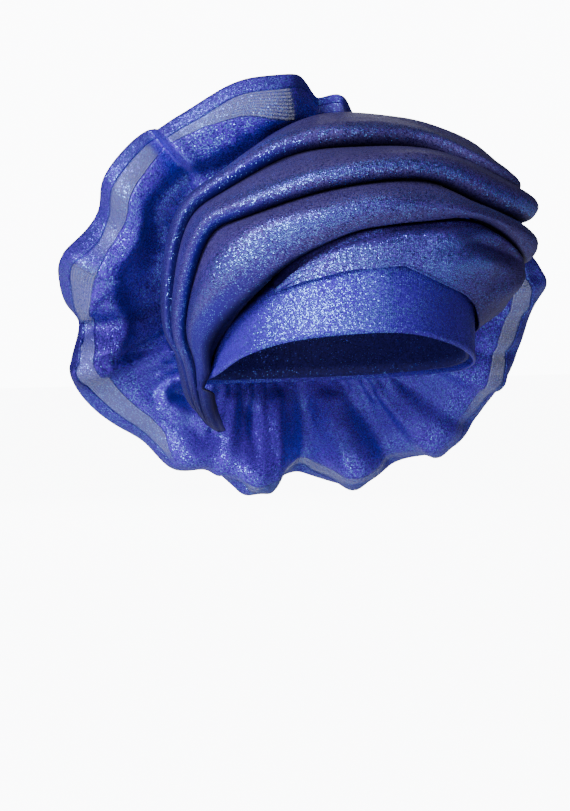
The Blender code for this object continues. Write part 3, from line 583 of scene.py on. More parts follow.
def mesh_object(name, points, faces):
    """Smooth mesh object in the scene."""
    mesh = bpy.data.meshes.new(name)
    mesh.from_pydata(np.asarray(points, dtype=float).tolist(), [], faces)
    mesh.update()
    mesh.polygons.foreach_set("use_smooth", [True] * len(mesh.polygons))
    return in_scene(name, mesh)


def cap_cloth():
    """Hollow cap of panels that meet in low seams, closed at the crown."""
    around, up = CAP_STEPS
    bearing = np.linspace(0, 2 * math.pi, around, endpoint=False)
    grow = CAP_WALL / 2.0
    rings = []
    for share in np.linspace(0, 1, up + 1)[:-1]:
        rim = band_drop(bearing) + CAP_RIM_LIFT
        low = np.arcsin(rim / np.where(rim > 0, CAP_HEIGHT, CAP_BELOW))
        climb = low + (math.pi / 2 - low) * share
        height = np.sin(climb) * np.where(climb > 0, CAP_HEIGHT - grow, CAP_BELOW)
        seam = CAP_SEAM_DEPTH * np.exp(-(np.sin(bearing * CAP_SEAMS / 2.0) / CAP_SEAM_SPREAD) ** 2)
        reach = (oval(bearing, grow) - seam) * np.cos(climb)
        rings.append(np.stack([reach * np.sin(bearing), -reach * np.cos(bearing), height], axis=1))
    crown = np.tile(np.array([0.0, 0.0, CAP_HEIGHT - grow]), (around, 1))
    rings.append(rings[-1] * CROWN_CLOSE + crown * (1.0 - CROWN_CLOSE))
    grid = np.stack(rings, axis=1)
    normals = grid_normals(grid, True)
    normals[:, -1] = (0.0, 0.0, np.sign(normals[0, -2][2]))
    return cloth("cap_cloth", grid, CAP_WALL, loop=True, normals=normals)


def band_point(bearing, share):
    """Mid-wall point of the forehead band at a share of its width."""
    height = band_drop(bearing) + BAND_WIDTH * share
    grow = CAP_WALL + SEAT_GAP + BAND_WALL / 2.0 - BAND_LEAN * np.clip(height / BAND_WIDTH, 0.0, 1.0)
    reach = oval(bearing, grow)
    return np.stack([reach * np.sin(bearing), -reach * np.cos(bearing), height], axis=-1)


def band_cloth():
    """Ring of cloth round the opening, with a turned lower hem and one upright seam."""
    around, up = BAND_STEPS
    bearing = np.linspace(0, 2 * math.pi, around, endpoint=False)
    shares = np.linspace(0, 1, up + 1)
    grid = np.stack([band_point(bearing, share) for share in shares], axis=1)
    outward = grid_normals(grid, True)
    if np.sum(outward[0, 0] * grid[0, 0]) < 0:
        outward = -outward
    places = np.stack([np.sin(bearing), np.cos(bearing)], axis=-1)[:, None, :] * np.ones((1, up + 1, 1))
    rise = shares[None, :, None] * np.full((around, 1, 1), BAND_WAVER_RISE)
    soft = soft_noise(np.concatenate([places * BAND_MEAN_RADIUS, rise], axis=-1), BAND_WAVER_SIZE, 1)
    hem = np.clip(1.0 - shares * BAND_WIDTH / BAND_HEM, 0.0, 1.0)
    turned = BAND_HEM_SWELL * np.sin(np.pi * np.clip(hem, 0.0, 1.0)) ** 0.5
    degrees = np.degrees((bearing + math.pi) % (2 * math.pi) - math.pi)
    step = np.clip((BAND_SEAM_BEARING - degrees) / BAND_SEAM_SPAN, 0.0, 1.0) * (degrees > BAND_SEAM_END)
    lift = soft * BAND_WAVER + turned[None, :] + (step * BAND_SEAM_STEP)[:, None]
    # Painted light: past the seam, toward positive bearings, the band takes a little painted shade and fewer
    # glints, crossed by streaks of painted highlight glitter. At bearings below about -44 degrees its glints
    # are fewer too, as painted shade.
    plain = np.clip((degrees - BAND_SEAM_BEARING) / BAND_PLAIN_SPAN, 0.0, 1.0)[:, None] * np.ones((1, up + 1))
    slant = degrees[:, None] * BAND_STREAK_SLANT + grid[..., 2]
    streak = soft_noise(np.stack([slant, grid[..., 2]], axis=-1), BAND_STREAK_SIZE, 3)
    lit_glitter = 1.0 - plain * (BAND_PLAIN_GLITTER_SHADE - BAND_STREAKS * np.clip(streak, 0.0, 0.5))
    # Painted shade where the band runs up under the lower pleat, fading out toward the back.
    tucked = np.interp(degrees, BAND_TUCK_BEARINGS, BAND_TUCK_HEIGHTS)[:, None]
    tucked = np.clip((grid[..., 2] - tucked) / BAND_TUCK_FADE + 0.5, 0.0, 1.0)
    tucked = tucked * np.clip((degrees - BAND_TUCK_END[0]) / BAND_TUCK_END[1], 0.0, 1.0)[:, None]
    side = np.clip((BAND_SIDE[0] - degrees) / BAND_SIDE[1], 0.0, 1.0)
    lit_glitter = lit_glitter * (1.0 - BAND_SIDE_GLITTER_SHADE * side)[:, None]
    shade = (1.0 - BAND_PLAIN_DARK * plain) * (1.0 - BAND_TUCK_DARK * tucked)
    return cloth("band_cloth", grid + outward * lift[..., None], BAND_CLOTH, loop=True,
                 marks={"lit_glitter": lit_glitter, "shade": shade})


def ring_frame():
    """Centre and axes of the ruffle's plane: toward the left side, up, and forward."""
    side = np.array([math.cos(RING_YAW), math.sin(RING_YAW), 0.0])
    ahead = np.array([math.sin(RING_YAW), -math.cos(RING_YAW), 0.0])
    rise = np.array([0.0, 0.0, 1.0])
    up = rise * math.cos(RING_TILT) + ahead * math.sin(RING_TILT)
    forward = ahead * math.cos(RING_TILT) - rise * math.sin(RING_TILT)
    return np.array(RING_CENTRE), side, up, forward


def on_cap(start, direction, grow):
    """Point where a ray from inside leaves the cap, grown outward."""
    low, high = 0.0, SEARCH_REACH
    for _ in range(SEARCH_STEPS):
        middle = (low + high) / 2.0
        point = start + direction * middle
        tall = CAP_HEIGHT if point[2] > 0 else CAP_BELOW
        size = ((point[0] / (HEAD_HALF_WIDTH + CAP_WALL + grow)) ** 2
                + (point[1] / (HEAD_HALF_DEPTH + CAP_WALL + grow)) ** 2 + (point[2] / (tall + grow)) ** 2)
        if size < 1.0:
            low = middle
        else:
            high = middle
    return start + direction * low


def ruffle_seat(centre, way):
    """Where the gathered root of the ruffle sits: on the cap, or low on the band behind."""
    low, high = 0.0, SEARCH_REACH
    clear = SEAT_GAP + RUFFLE_WALL
    for _ in range(SEARCH_STEPS):
        middle = (low + high) / 2.0
        point = centre + way * middle
        bearing = bearing_of(point)
        edge = float(band_drop(np.array(bearing)))
        grow = CAP_WALL + clear
        tall = (CAP_HEIGHT if point[2] > 0 else CAP_BELOW) + clear
        across = math.hypot(point[0], point[1]) / float(oval(np.array(bearing), grow))
        size = math.hypot(across, point[2] / tall)
        banded = edge - clear < point[2] < edge + BAND_WIDTH + OVER_BAND
        reach = float(oval(np.array(bearing), grow + SEAT_GAP + BAND_WALL))
        inside = size < 1.0 or (banded and math.hypot(point[0], point[1]) < reach)
        if inside and point[2] > edge - clear:
            low = middle
        else:
            high = middle
    point = centre + way * low
    bearing = bearing_of(point)
    edge = float(band_drop(np.array(bearing)))
    if point[2] < edge + BAND_SEW:
        reach = float(oval(np.array(bearing), CAP_WALL + clear + SEAT_GAP + BAND_WALL))
        return low, facing(bearing) * reach + np.array([0.0, 0.0, edge + BAND_SEW])
    return low, point


def wrap_sections(at):
    """Cross-sections of the three pleats at places along the wrap, each a list of points."""
    lip = wrap_line(LOWER_LIP, at)
    crests = [wrap_line(rows, at) for rows in (LOWER_CREST, MIDDLE_CREST, UPPER_CREST)]
    crown = wrap_line(CROWN_LINE, at)
    run = unit(np.gradient(crests[1], axis=0))
    depths = spline(FOLD_DEPTHS, at)
    centre, _, _, forward = ring_frame()
    sections = []
    for k in range(len(at)):
        ups = []
        outs = []
        for low, high in ((lip[k], crests[0][k]), (crests[0][k], crests[1][k]), (crests[1][k], crests[2][k]),
                          (crests[2][k], crown[k])):
            up = high - low
            up = unit(up - run[k] * np.dot(up, run[k]))
            ups.append(up)
            outs.append(unit(np.cross(run[k], up)))
        bearing = bearing_of(lip[k])
        radial = facing(bearing)
        room = np.dot(lip[k], radial) - oval(bearing, CAP_WALL + SEAT_GAP + BAND_WALL + PLEAT_WALL)
        edge = float(band_drop(np.array(bearing)))
        above = (lip[k][2] - edge - BAND_WIDTH - ROOM_ABOVE[0]) / ROOM_ABOVE[1]
        below = (edge - ROOM_BELOW[0] - lip[k][2]) / ROOM_BELOW[1]
        free = min(1.0, max(above, below, 0.0))
        tuck = min(UNDERSIDE, max(room, LEAST_ROOM)) * (1 - free) + UNDERSIDE * free
        tuck = tuck * depths[k][0]
        inner = lip[k] - radial * tuck + np.array([0.0, 0.0, tuck * UNDER_RISE])
        inner = inner - ups[0] * max(0.0, LEAST_TURN - tuck)
        lower = [inner, lip[k], crests[0][k]]
        apart = PLEAT_CLOTH * VALLEY_TOUCH
        pieces = []
        for step in (0, 1):
            up, out = ups[step + 1], outs[step + 1]
            spread = depths[k][step + 1]
            slack = max(0.0, 1.0 - spread)
            drop = LIP_DROP * (VALLEY_SHARE * spread + FLAT_SHARE * slack)
            valley = crests[step + 1][k] - out * VALLEY_DEPTH * spread - up * drop
            face = (lower[-1] * 0.5 + valley * 0.5) + out * FACE_SWELL * spread
            pieces.append(lower + [face, valley - up * apart])
            hang = LIP_DROP * (spread + slack * FLAT_SHARE / 3.0)
            fold = crests[step + 1][k] - up * hang - out * LIP_TUCK * spread
            lower = [valley + up * apart, fold, crests[step + 1][k]]
        start = centre + forward * TUCK_AHEAD
        aim = unit(crown[k] - start - forward * np.dot(crown[k] - start, forward))
        seat = on_cap(start, aim, SEAT_GAP + PLEAT_WALL / 2.0)
        below = min(1.0, max(0.0, (SEAT_FADE[0] - crown[k][2]) / (SEAT_FADE[0] - SEAT_FADE[1])))
        seat = seat * (1 - below) + (crown[k] - outs[3] * TAIL_DEPTH + ups[3] * TAIL_DEPTH) * below
        shoulder = crown[k] * 0.55 + seat * 0.45 + unit(crown[k] - start) * SHOULDER * (1 - below)
        pieces.append(lower + [(crests[2][k] + crown[k]) / 2.0 + outs[3] * FACE_SWELL * spread, crown[k],
                               shoulder, seat])
        sections.append(pieces)
    return sections


def clear_of_head(grid, wall):
    """Points moved outward where they would run into the band or the cap."""
    bearing = np.arctan2(grid[..., 0], -grid[..., 1])
    reach = np.hypot(grid[..., 0], grid[..., 1])
    height = grid[..., 2]
    edge = band_drop(bearing)
    clear = CAP_WALL + SEAT_GAP + wall / 2.0 + FACET_GAP
    least = oval(bearing, clear + SEAT_GAP + BAND_WALL)
    above = oval(bearing, clear) * cap_scale(height)
    least = np.where(height > edge + BAND_WIDTH + EDGE_ROOM, above, least)
    least = least - np.clip((edge - EDGE_ROOM - height) / EDGE_FADE, 0.0, 1.0) * EDGE_INSET
    push = np.maximum(least, reach) / reach
    return np.stack([grid[..., 0] * push, grid[..., 1] * push, height], axis=-1)


def pleat_cloth(name, sections, which, rows, seed):
    """One rolled pleat with fine creases along it, a soft waver and a rounded tail."""
    last = len(sections[0][which]) - 1
    at = np.linspace(0, last, rows + 1)
    grid = np.stack([bent(section[which], at) for section in sections])
    grid = clear_of_head(grid, PLEAT_WALL)
    places = cloth_places(grid, False)
    creases = soft_noise(places, CREASE_SIZE, seed) * PLEAT_CREASE
    creases = creases + soft_noise(places, FINE_CREASE_SIZE, seed + 10) * PLEAT_CREASE * FINE_CREASE
    waver = soft_noise(places, WAVER_SIZE, seed + 20) * PLEAT_WAVER
    along = np.linspace(0, 1, len(sections))
    (tail, tail_spread), (end, end_spread) = GATHERED_ENDS
    gathered = 1.0 + tail * np.exp(-(along / tail_spread) ** 2)
    gathered = gathered + end * np.exp(-((1 - along) / end_spread) ** 2)
    fade = edge_fade(grid.shape[1], PLEAT_EDGE_ROWS)[None, :]
    lift = (creases * gathered[:, None] + waver) * fade
    grid = grid + grid_normals(grid, False) * lift[..., None]
    middle = np.array([section[1][2] for section in sections])[:, None]
    near = np.clip(along * len(sections) / TAIL_ROUND, 0.0, 1.0)
    narrow = (TAIL_END + (1.0 - TAIL_END) * np.sqrt(1.0 - (1.0 - near) ** 2))[:, None, None]
    grid = middle + (grid - middle) * narrow
    # Painted shade: darker toward the valley behind the pleat, at its lip, far to one side and at the tail.
    shade = np.clip((last - at) / VALLEY_LIGHT, 0.0, 1.0)[None, :] ** VALLEY_POWER
    up = np.stack([lengths(line) for line in grid])
    up = up - up[:, [int(round(rows / last))]]
    turn = np.degrees(np.arctan2(grid[:, :, 0], -grid[:, :, 1]))
    left = np.clip((PLEAT_LEFT[1] - turn) / (PLEAT_LEFT[1] - PLEAT_LEFT[0]), 0.0, 1.0)
    start, black, royal_shade, middle_up, spread, least = PLEAT_LIGHT[which]
    from_lip = np.clip((up - start) / (black * left - start), 0.0, 1.0)
    shade = shade * (LIP_SHADE + (1.0 - LIP_SHADE) * from_lip)
    # Painted shade: violet-blue on the underside near the lip at negative bearings, and over the pleats far
    # along that side.
    royal_shade = np.clip((royal_shade - up) / ROYAL_FADE, 0.0, 1.0) * left
    rise = middle_up * (0.6 + 0.4 * left)
    far = np.clip((PLEAT_FAR[0] - turn) / (PLEAT_FAR[0] - PLEAT_FAR[1]), 0.0, 1.0)
    royal_shade = np.maximum(royal_shade, FAR_ROYAL_SHADE * far)
    from_tail = np.clip(along / TAIL_SHARES[0], 0.0, 1.0)[:, None]
    shade = shade * (1.0 - FAR_DARK * far) * (TAIL_SHADE + (1.0 - TAIL_SHADE) * from_tail)
    shade = np.maximum(shade, TAIL_LEAST * np.clip(1.6 - along / TAIL_SHARES[1], 0.0, 1.0)[:, None])
    # Painted highlight: the glitter share peaks in a band at a set height up the face of the pleat.
    lit_glitter = least + (1.0 - least) * np.exp(-((up - rise) / (spread * (0.5 + 0.5 * left))) ** 2)
    return cloth(name, grid, PLEAT_CLOTH, marks={"shade": shade, "royal_shade": royal_shade, "lit_glitter": lit_glitter})


def drape_cloth():
    """Cloth gathered between the band and the underside of the lower pleat, in soft slanting folds."""
    edge_rows = np.asarray(DRAPE_EDGE, dtype=float)
    at = np.linspace(DRAPE_START, len(LOWER_LIP) - 1.0, DRAPE_STEPS)
    grid = []
    bearings = []
    for section in wrap_sections(at):
        inner, lip = section[0][0], section[0][1]
        top = lip * (1.0 - DRAPE_TOP_SHARE) + inner * DRAPE_TOP_SHARE
        top[2] = max(lip[2], top[2]) - (PLEAT_WALL + DRAPE_WALL) / 2.0 - DRAPE_TUCK
        bearing = bearing_of(top)
        bearings.append(math.degrees(bearing))
        share, swell, inset = (np.interp(bearings[-1], edge_rows[:, 0], edge_rows[:, n]) for n in (1, 2, 3))
        grow = CAP_WALL + SEAT_GAP + BAND_WALL + DRAPE_GAP + DRAPE_WALL / 2.0
        reach = float(oval(np.array(bearing), grow))
        radial = facing(bearing)
        low = radial * reach + np.array([0.0, 0.0, share * DRAPE_RISE])
        upper = lip - radial * DRAPE_INSET * inset - np.array([0.0, 0.0, DRAPE_HANG])
        middle = (low + upper) / 2.0 + radial * DRAPE_SWELL * swell
        grid.append(bent([low, middle, upper, top], np.linspace(0, 3, DRAPE_ROWS + 1)))
    grid = clear_of_head(np.stack(grid), DRAPE_WALL)
    outward = grid_normals(grid, False)
    if np.sum(outward[DRAPE_STEPS // 2, 8] * grid[DRAPE_STEPS // 2, 8]) < 0:
        outward = -outward
    shares = np.linspace(0, 1, DRAPE_ROWS + 1)[None, :]
    turn = np.asarray(bearings)[:, None]
    tall = np.linalg.norm(grid[:, -1] - grid[:, 0], axis=1)[:, None]
    reach = np.hypot(grid[:, :1, 0], grid[:, :1, 1])
    lift = np.zeros(grid.shape[:2])
    for start, start_share, end, end_share, width, height in DRAPE_RIDGES:
        t = np.clip((turn - start) / (end - start), 0.0, 1.0)
        gap = (shares - (start_share + (end_share - start_share) * t)) * tall
        beyond = (turn - (start + (end - start) * t)) * math.radians(1.0) * reach
        taper = 0.35 + 0.65 * np.sin(math.pi * t) ** 0.7
        lift = lift + height * taper * np.exp(-(gap ** 2 + beyond ** 2) / width ** 2)
    places = cloth_places(grid, False)
    for size, seed, height in DRAPE_WAVERS:
        lift = lift + soft_noise(places, size, seed) * height
    fade = np.sin(math.pi * np.clip(shares, 0.02, 0.97)) ** 0.6
    # Painted shade: darker near the top, where the drape tucks under the lower pleat and from lower down at
    # negative bearings, and darker toward positive bearings.
    left = np.clip((DRAPE_LEFT[0] - turn) / DRAPE_LEFT[1], 0.0, 1.0)
    right = np.clip((turn - DRAPE_RIGHT[0]) / DRAPE_RIGHT[1], 0.0, 1.0)
    place, lower, spread = DRAPE_TUCK_PLACE
    tucked = np.clip((shares - place + lower * left) / spread, 0.0, 1.0)
    edge = np.clip((shares - DRAPE_EDGE_PLACE[0]) / DRAPE_EDGE_PLACE[1], 0.0, 1.0)
    shade = 1.0 - (DRAPE_TUCK_DARK[0] + DRAPE_TUCK_DARK[1] * left) * tucked
    shade = shade * (1.0 - DRAPE_EDGE_DARK * edge) * (1.0 - DRAPE_RIGHT_DARK * right)
    # Painted highlight: more glitter along the fold ridges, and fewer glints toward positive bearings as
    # painted shade.
    lit_glitter = DRAPE_LIT_GLITTER * (1.0 - DRAPE_RIGHT_GLITTER_SHADE * right) + lift / DRAPE_FOLD_HEIGHT * 0.7
    across = np.radians(turn) * reach.mean() * np.ones(lift.shape)
    flat = np.stack([across, grid[..., 2] * DRAPE_STRETCH], axis=-1)
    return cloth("drape_cloth", grid + outward * (lift * fade)[..., None], DRAPE_CLOTH,
                 marks={"shade": shade, "lit_glitter": np.clip(lit_glitter, 0.1, 1.3)}, flat=flat)


def ruffle_grid():
    """Points of the whole ruffle once round, with the rows where its strips meet."""
    rows = np.asarray(RUFFLE_FOLDS, dtype=float)
    pad = 4
    before = rows[-pad:].copy()
    before[:, :2] -= 360.0
    after = rows[:pad].copy()
    after[:, :2] += 360.0
    rows = np.concatenate([before, rows, after])
    at = np.linspace(0, len(RUFFLE_FOLDS), RUFFLE_STEPS, endpoint=False)
    root, turn, outer, fore, body, crease = spline(rows, pad + at).T
    windows = np.asarray(WINDOWS, dtype=float)
    inner_edge, hem_edge, clear = (np.interp(at, windows[:, 0], windows[:, n]) for n in (1, 2, 3))
    centre, side, up, forward = ring_frame()
    profiles = [bent(profile, np.linspace(0, len(profile) - 1, PROFILE_STEPS))
                for profile in (SOFT_PROFILE, CREASED_PROFILE)]
    grid = np.zeros((len(at), BODY_ROWS + SHEER_ROWS + HEM_ROWS + 1, 3))
    shares = np.zeros(grid.shape[:2])
    for i in range(len(at)):
        start_angle = math.radians(root[i])
        start_way = side * math.cos(start_angle) + up * math.sin(start_angle)
        start_reach, seat = ruffle_seat(centre, start_way)
        shift = seat - centre - start_way * start_reach
        mix = min(max(crease[i], 0.0), 1.0)
        v = np.concatenate([np.linspace(0, inner_edge[i], BODY_ROWS + 1)[:-1],
                            np.linspace(inner_edge[i], hem_edge[i], SHEER_ROWS + 1)[:-1],
                            np.linspace(hem_edge[i], 1.0, HEM_ROWS + 1)])
        shares[i] = v
        soft = [np.interp(v, profiles[0][:, 0], profiles[0][:, k]) for k in (1, 2)]
        sharp = [np.interp(v, profiles[1][:, 0], profiles[1][:, k]) for k in (1, 2)]
        angle = np.radians(root[i] * (1 - v) + turn[i] * v)[:, None]
        way = side * np.cos(angle) + up * np.sin(angle)
        reach_share = soft[0] * (1 - mix) + sharp[0] * mix
        reach = start_reach + (outer[i] * RUFFLE_RADIUS - start_reach) * reach_share
        lead = (fore[i] * v + body[i] * (soft[1] * (1 - mix) + sharp[1] * mix)) * RUFFLE_DEPTH
        grid[i] = centre + way * reach[:, None] + forward * lead[:, None] + shift * ((1 - v) ** 2)[:, None]
    turns = np.radians(turn)[:, None]
    gathers = np.sin(turns * GATHERS + 2.5 * np.sin(turns * 7.0) + 1.5 * np.sin(turns * 3.0 + 1.0))
    gathers = gathers * GATHER_DEPTH * (1 - shares) ** 2.2 * np.clip(shares / 0.06, 0.0, 1.0)
    dents = soft_noise(grid, DENT_SIZE, 41) * DENT_DEPTH * np.sin(math.pi * np.clip(shares, 0.0, 1.0)) ** 0.5
    crumple = soft_noise(grid, CRUMPLE_SIZE, 42) * CRUMPLE_DEPTH
    folds = ruffle_creases(grid, turn, shares, forward)
    folds = folds * np.clip(shares / 0.15, 0.0, 1.0) * np.clip((1.0 - shares) / 0.05, 0.2, 1.0)
    normals = grid_normals(grid, True)
    front = np.sign(np.sum(normals * forward, axis=-1).mean())
    grid = grid + (normals * front) * (gathers + dents + crumple + folds)[..., None]
    return grid, grid_normals(grid, True), clear, shares, turn


def ruffle_creases(grid, turn, shares, forward):
    """Height of the soft creases of the ruffle at its points."""
    lift = np.zeros(grid.shape[:2])
    for height, left_width, right_width, line in RUFFLE_CREASES:
        corners = []
        for bearing, share in line:
            i = int(np.argmin(np.abs((turn - bearing + 180.0) % 360.0 - 180.0)))
            corners.append(grid[i, int(np.argmin(np.abs(shares[i] - share)))])
        nearest = np.full(grid.shape[:2], 1.0)
        side = np.zeros(grid.shape[:2])
        for first, last in zip(corners[:-1], corners[1:]):
            run = last - first
            t = np.clip((grid - first) @ run / (run @ run), 0.0, 1.0)
            away = grid - first - t[..., None] * run
            away = away - (away @ forward)[..., None] * forward
            gap = np.linalg.norm(away, axis=-1)
            side = np.where(gap < nearest, away @ np.cross(forward, run), side)
            nearest = np.minimum(gap, nearest)
        width = np.where(side > 0.0, left_width, right_width)
        lift = lift + height * np.exp(-(nearest / width) ** 2)
    return lift


def ruffle_strips():
    """Glitter body, see-through strip and doubled hem of the ruffle."""
    grid, normals, clear, shares, turn = ruffle_grid()
    # Painted shade: darker near the gathered root and at the low part of the ring, with fewer glints near the
    # root.
    shade = RUFFLE_ROOT_LIGHT + (1.0 - RUFFLE_ROOT_LIGHT) * np.clip(shares / 0.4, 0.0, 1.0)
    shade = shade * (1.0 - RUFFLE_LOW[2] * np.exp(-((turn - RUFFLE_LOW[0]) / RUFFLE_LOW[1]) ** 2))[:, None]
    lit_glitter = RUFFLE_ROOT_LIGHT + (1.0 - RUFFLE_ROOT_LIGHT) * np.clip(shares / 0.7, 0.0, 1.0) ** 2
    strips = []
    first = 0
    for name, rows, wall in (("ruffle_cloth", BODY_ROWS, RUFFLE_CLOTH),
                             ("sheer_strip", SHEER_ROWS, RUFFLE_CLOTH), ("hem_cloth", HEM_ROWS, HEM_WALL)):
        part = slice(first, first + rows + 1)
        marks = {"clear": clear[:, None], "shade": shade[:, part], "lit_glitter": lit_glitter[:, part]}
        strips.append(cloth(name, grid[:, part], wall, loop=True, normals=normals[:, part], marks=marks))
        first += rows
    lines = [grid[:, row] + normals[:, row] * HEM_WALL * STITCH_LIFT
             for row in (BODY_ROWS + SHEER_ROWS, BODY_ROWS)]
    return strips, lines


def line_object(name, points):
    """Closed curve of straight runs through points."""
    curve = bpy.data.curves.new(name, "CURVE")
    curve.dimensions = "3D"
    line = curve.splines.new("POLY")
    line.points.add(len(points) - 1)
    line.points.foreach_set("co", np.concatenate([points, np.ones((len(points), 1))], axis=1).ravel())
    line.use_cyclic_u = True
    return in_scene(name, curve)


def stitch_tree():
    """Geometry nodes that lay short round stitches along a line."""
    tree = bpy.data.node_groups.new("stitches along a line", "GeometryNodeTree")
    add_sockets(tree, "INPUT", (("Line", "Geometry"), ("Stitch Length", "Float"), ("Stitch Pitch", "Float"),
                                ("Thread Thickness", "Float"), ("Thread Material", "Material")))
    add_sockets(tree, "OUTPUT", (("Stitches", "Geometry"),))
    start = tree.nodes.new("NodeGroupInput").outputs
    spaced = add(tree, "GeometryNodeResampleCurve",
                 {"Curve": start["Line"], "Length": start["Stitch Pitch"]}, mode="LENGTH")
    tangent = add(tree, "GeometryNodeInputTangent")
    turned = add(tree, "FunctionNodeAlignRotationToVector", {"Vector": tangent.outputs["Tangent"]}, axis="Z")
    thread = add(tree, "GeometryNodeMeshUVSphere",
                 {"Segments": 6, "Rings": 4, "Radius": start["Thread Thickness"]})
    half = add(tree, "ShaderNodeMath", {0: start["Stitch Length"], 1: 2.0}, operation="DIVIDE")
    stretch = add(tree, "ShaderNodeMath", {0: half.outputs[0], 1: start["Thread Thickness"]},
                  operation="DIVIDE")
    scale = add(tree, "ShaderNodeCombineXYZ", {"X": 1.0, "Y": 1.0, "Z": stretch.outputs[0]})
    placed = add(tree, "GeometryNodeInstanceOnPoints",
                 {"Points": spaced.outputs["Curve"], "Instance": thread.outputs["Mesh"],
                  "Rotation": turned.outputs["Rotation"], "Scale": scale.outputs[0]})
    real = add(tree, "GeometryNodeRealizeInstances", {"Geometry": placed.outputs["Instances"]})
    shown = add(tree, "GeometryNodeSetMaterial",
                {"Geometry": real.outputs["Geometry"], "Material": start["Thread Material"]})
    finish = tree.nodes.new("NodeGroupOutput")
    tree.links.new(shown.outputs["Geometry"], finish.inputs["Stitches"])
    return tree


def stitches(name, points, tree, material):
    """Plain mesh of stitches along a closed line of points."""
    line = line_object(name + "_line", points)
    modifier = line.modifiers.new("stitches", "NODES")
    modifier.node_group = tree
    values = {"Stitch Length": STITCH_LENGTH, "Stitch Pitch": STITCH_PITCH,
              "Thread Thickness": STITCH_THICKNESS, "Thread Material": material}
    for socket in tree.interface.items_tree:
        if socket.name in values:
            modifier[socket.identifier] = values[socket.name]
    bpy.context.view_layer.update()
    seen = line.evaluated_get(bpy.context.evaluated_depsgraph_get())
    mesh = bpy.data.meshes.new_from_object(seen)
    mesh.name = name
    mesh.polygons.foreach_set("use_smooth", [True] * len(mesh.polygons))
    bpy.data.objects.remove(line, do_unlink=True)
    return in_scene(name, mesh)


def add_sockets(tree, side, rows):
    """Named inputs or outputs of a node group."""
    for label, kind in rows:
        tree.interface.new_socket(label, in_out=side, socket_type="NodeSocket" + kind)


def add(tree, kind, inputs=(), **settings):
    """Node with its settings made and its inputs set or linked."""
    item = tree.nodes.new(kind)
    for name, value in settings.items():
        setattr(item, name, value)
    for key, value in dict(inputs).items():
        if isinstance(value, bpy.types.NodeSocket):
            tree.links.new(value, item.inputs[key])
        else:
            item.inputs[key].default_value = value
    return item


def maths(tree, operation, first, second=0.0, third=0.0, clamp=False):
    """Result of one sum on two or three values."""
    inputs = {0: first, 1: second, 2: third}
    return add(tree, "ShaderNodeMath", inputs, operation=operation, use_clamp=clamp).outputs[0]


def blend(tree, share, first, second):
    """Colour between two colours."""
    first, second = (value if isinstance(value, bpy.types.NodeSocket) else (*value, 1.0)
                     for value in (first, second))
    return add(tree, "ShaderNodeMix", {0: share, 6: first, 7: second}, data_type="RGBA").outputs[2]


def ramp(tree, value, low, high):
    """Value stretched so that low becomes nothing and high becomes one."""
    item = add(tree, "ShaderNodeMapRange", {"Value": value, "From Min": low, "From Max": high}, clamp=True)
    return item.outputs["Result"]


def glitter_group():
    """Metallic threads that show as small flakes, each tilted its own way."""
    tree = bpy.data.node_groups.new("glitter threads", "ShaderNodeTree")
    add_sockets(tree, "INPUT", (("Place", "Vector"), ("Surface", "Vector"), ("Flake Size", "Float"),
                                ("Share", "Float"), ("Tilt", "Float")))
    add_sockets(tree, "OUTPUT", (("Flakes", "Float"), ("Grain", "Float"), ("Spark", "Float"),
                                 ("Normal", "Vector")))
    start = tree.nodes.new("NodeGroupInput").outputs
    finish = tree.nodes.new("NodeGroupOutput")
    fineness = maths(tree, "DIVIDE", 1.0, start["Flake Size"])
    cells = add(tree, "ShaderNodeTexVoronoi", {"Vector": start["Place"], "Scale": fineness},
                voronoi_dimensions="2D", feature="F1")
    tones = add(tree, "ShaderNodeSeparateColor", {0: cells.outputs["Color"]})
    chosen = maths(tree, "LESS_THAN", tones.outputs[0], start["Share"])
    near = maths(tree, "LESS_THAN", cells.outputs["Distance"], FLAKE_CORE)
    flakes = maths(tree, "MULTIPLY", chosen, near)
    centred = add(tree, "ShaderNodeVectorMath", {0: cells.outputs["Color"], 1: (0.5, 0.5, 0.5)},
                  operation="SUBTRACT")
    amount = maths(tree, "MULTIPLY_ADD", flakes, start["Tilt"], GROUND_TILT)
    lean = add(tree, "ShaderNodeVectorMath", {0: centred.outputs[0], "Scale": amount}, operation="SCALE")
    leaning = add(tree, "ShaderNodeVectorMath", {0: start["Surface"], 1: lean.outputs[0]}, operation="ADD")
    normal = add(tree, "ShaderNodeVectorMath", {0: leaning.outputs[0]}, operation="NORMALIZE")
    tree.links.new(flakes, finish.inputs["Flakes"])
    tree.links.new(tones.outputs[1], finish.inputs["Grain"])
    tree.links.new(maths(tree, "POWER", tones.outputs[2], SPARK_POWER), finish.inputs["Spark"])
    tree.links.new(normal.outputs[0], finish.inputs["Normal"])
    return tree


def weave_group():
    """Crossing threads of the organza, with uneven thickness."""
    tree = bpy.data.node_groups.new("organza weave", "ShaderNodeTree")
    add_sockets(tree, "INPUT", (("Place", "Vector"), ("Thread Pitch", "Float")))
    add_sockets(tree, "OUTPUT", (("Threads", "Float"), ("Unevenness", "Float")))
    start = tree.nodes.new("NodeGroupInput").outputs
    finish = tree.nodes.new("NodeGroupOutput")
    fineness = maths(tree, "DIVIDE", 2.0 * math.pi, start["Thread Pitch"])
    split = add(tree, "ShaderNodeSeparateXYZ", {0: start["Place"]})
    lines = [maths(tree, "SINE", maths(tree, "MULTIPLY", split.outputs[n], fineness)) for n in (0, 1)]
    threads = maths(tree, "MULTIPLY_ADD", maths(tree, "ADD", lines[0], lines[1]), 0.25, 0.5)
    uneven = add(tree, "ShaderNodeTexNoise", {"Vector": start["Place"], "Scale": UNEVEN_SCALE, "Detail": 2.0})
    tree.links.new(threads, finish.inputs["Threads"])
    tree.links.new(uneven.outputs[0], finish.inputs["Unevenness"])
    return tree


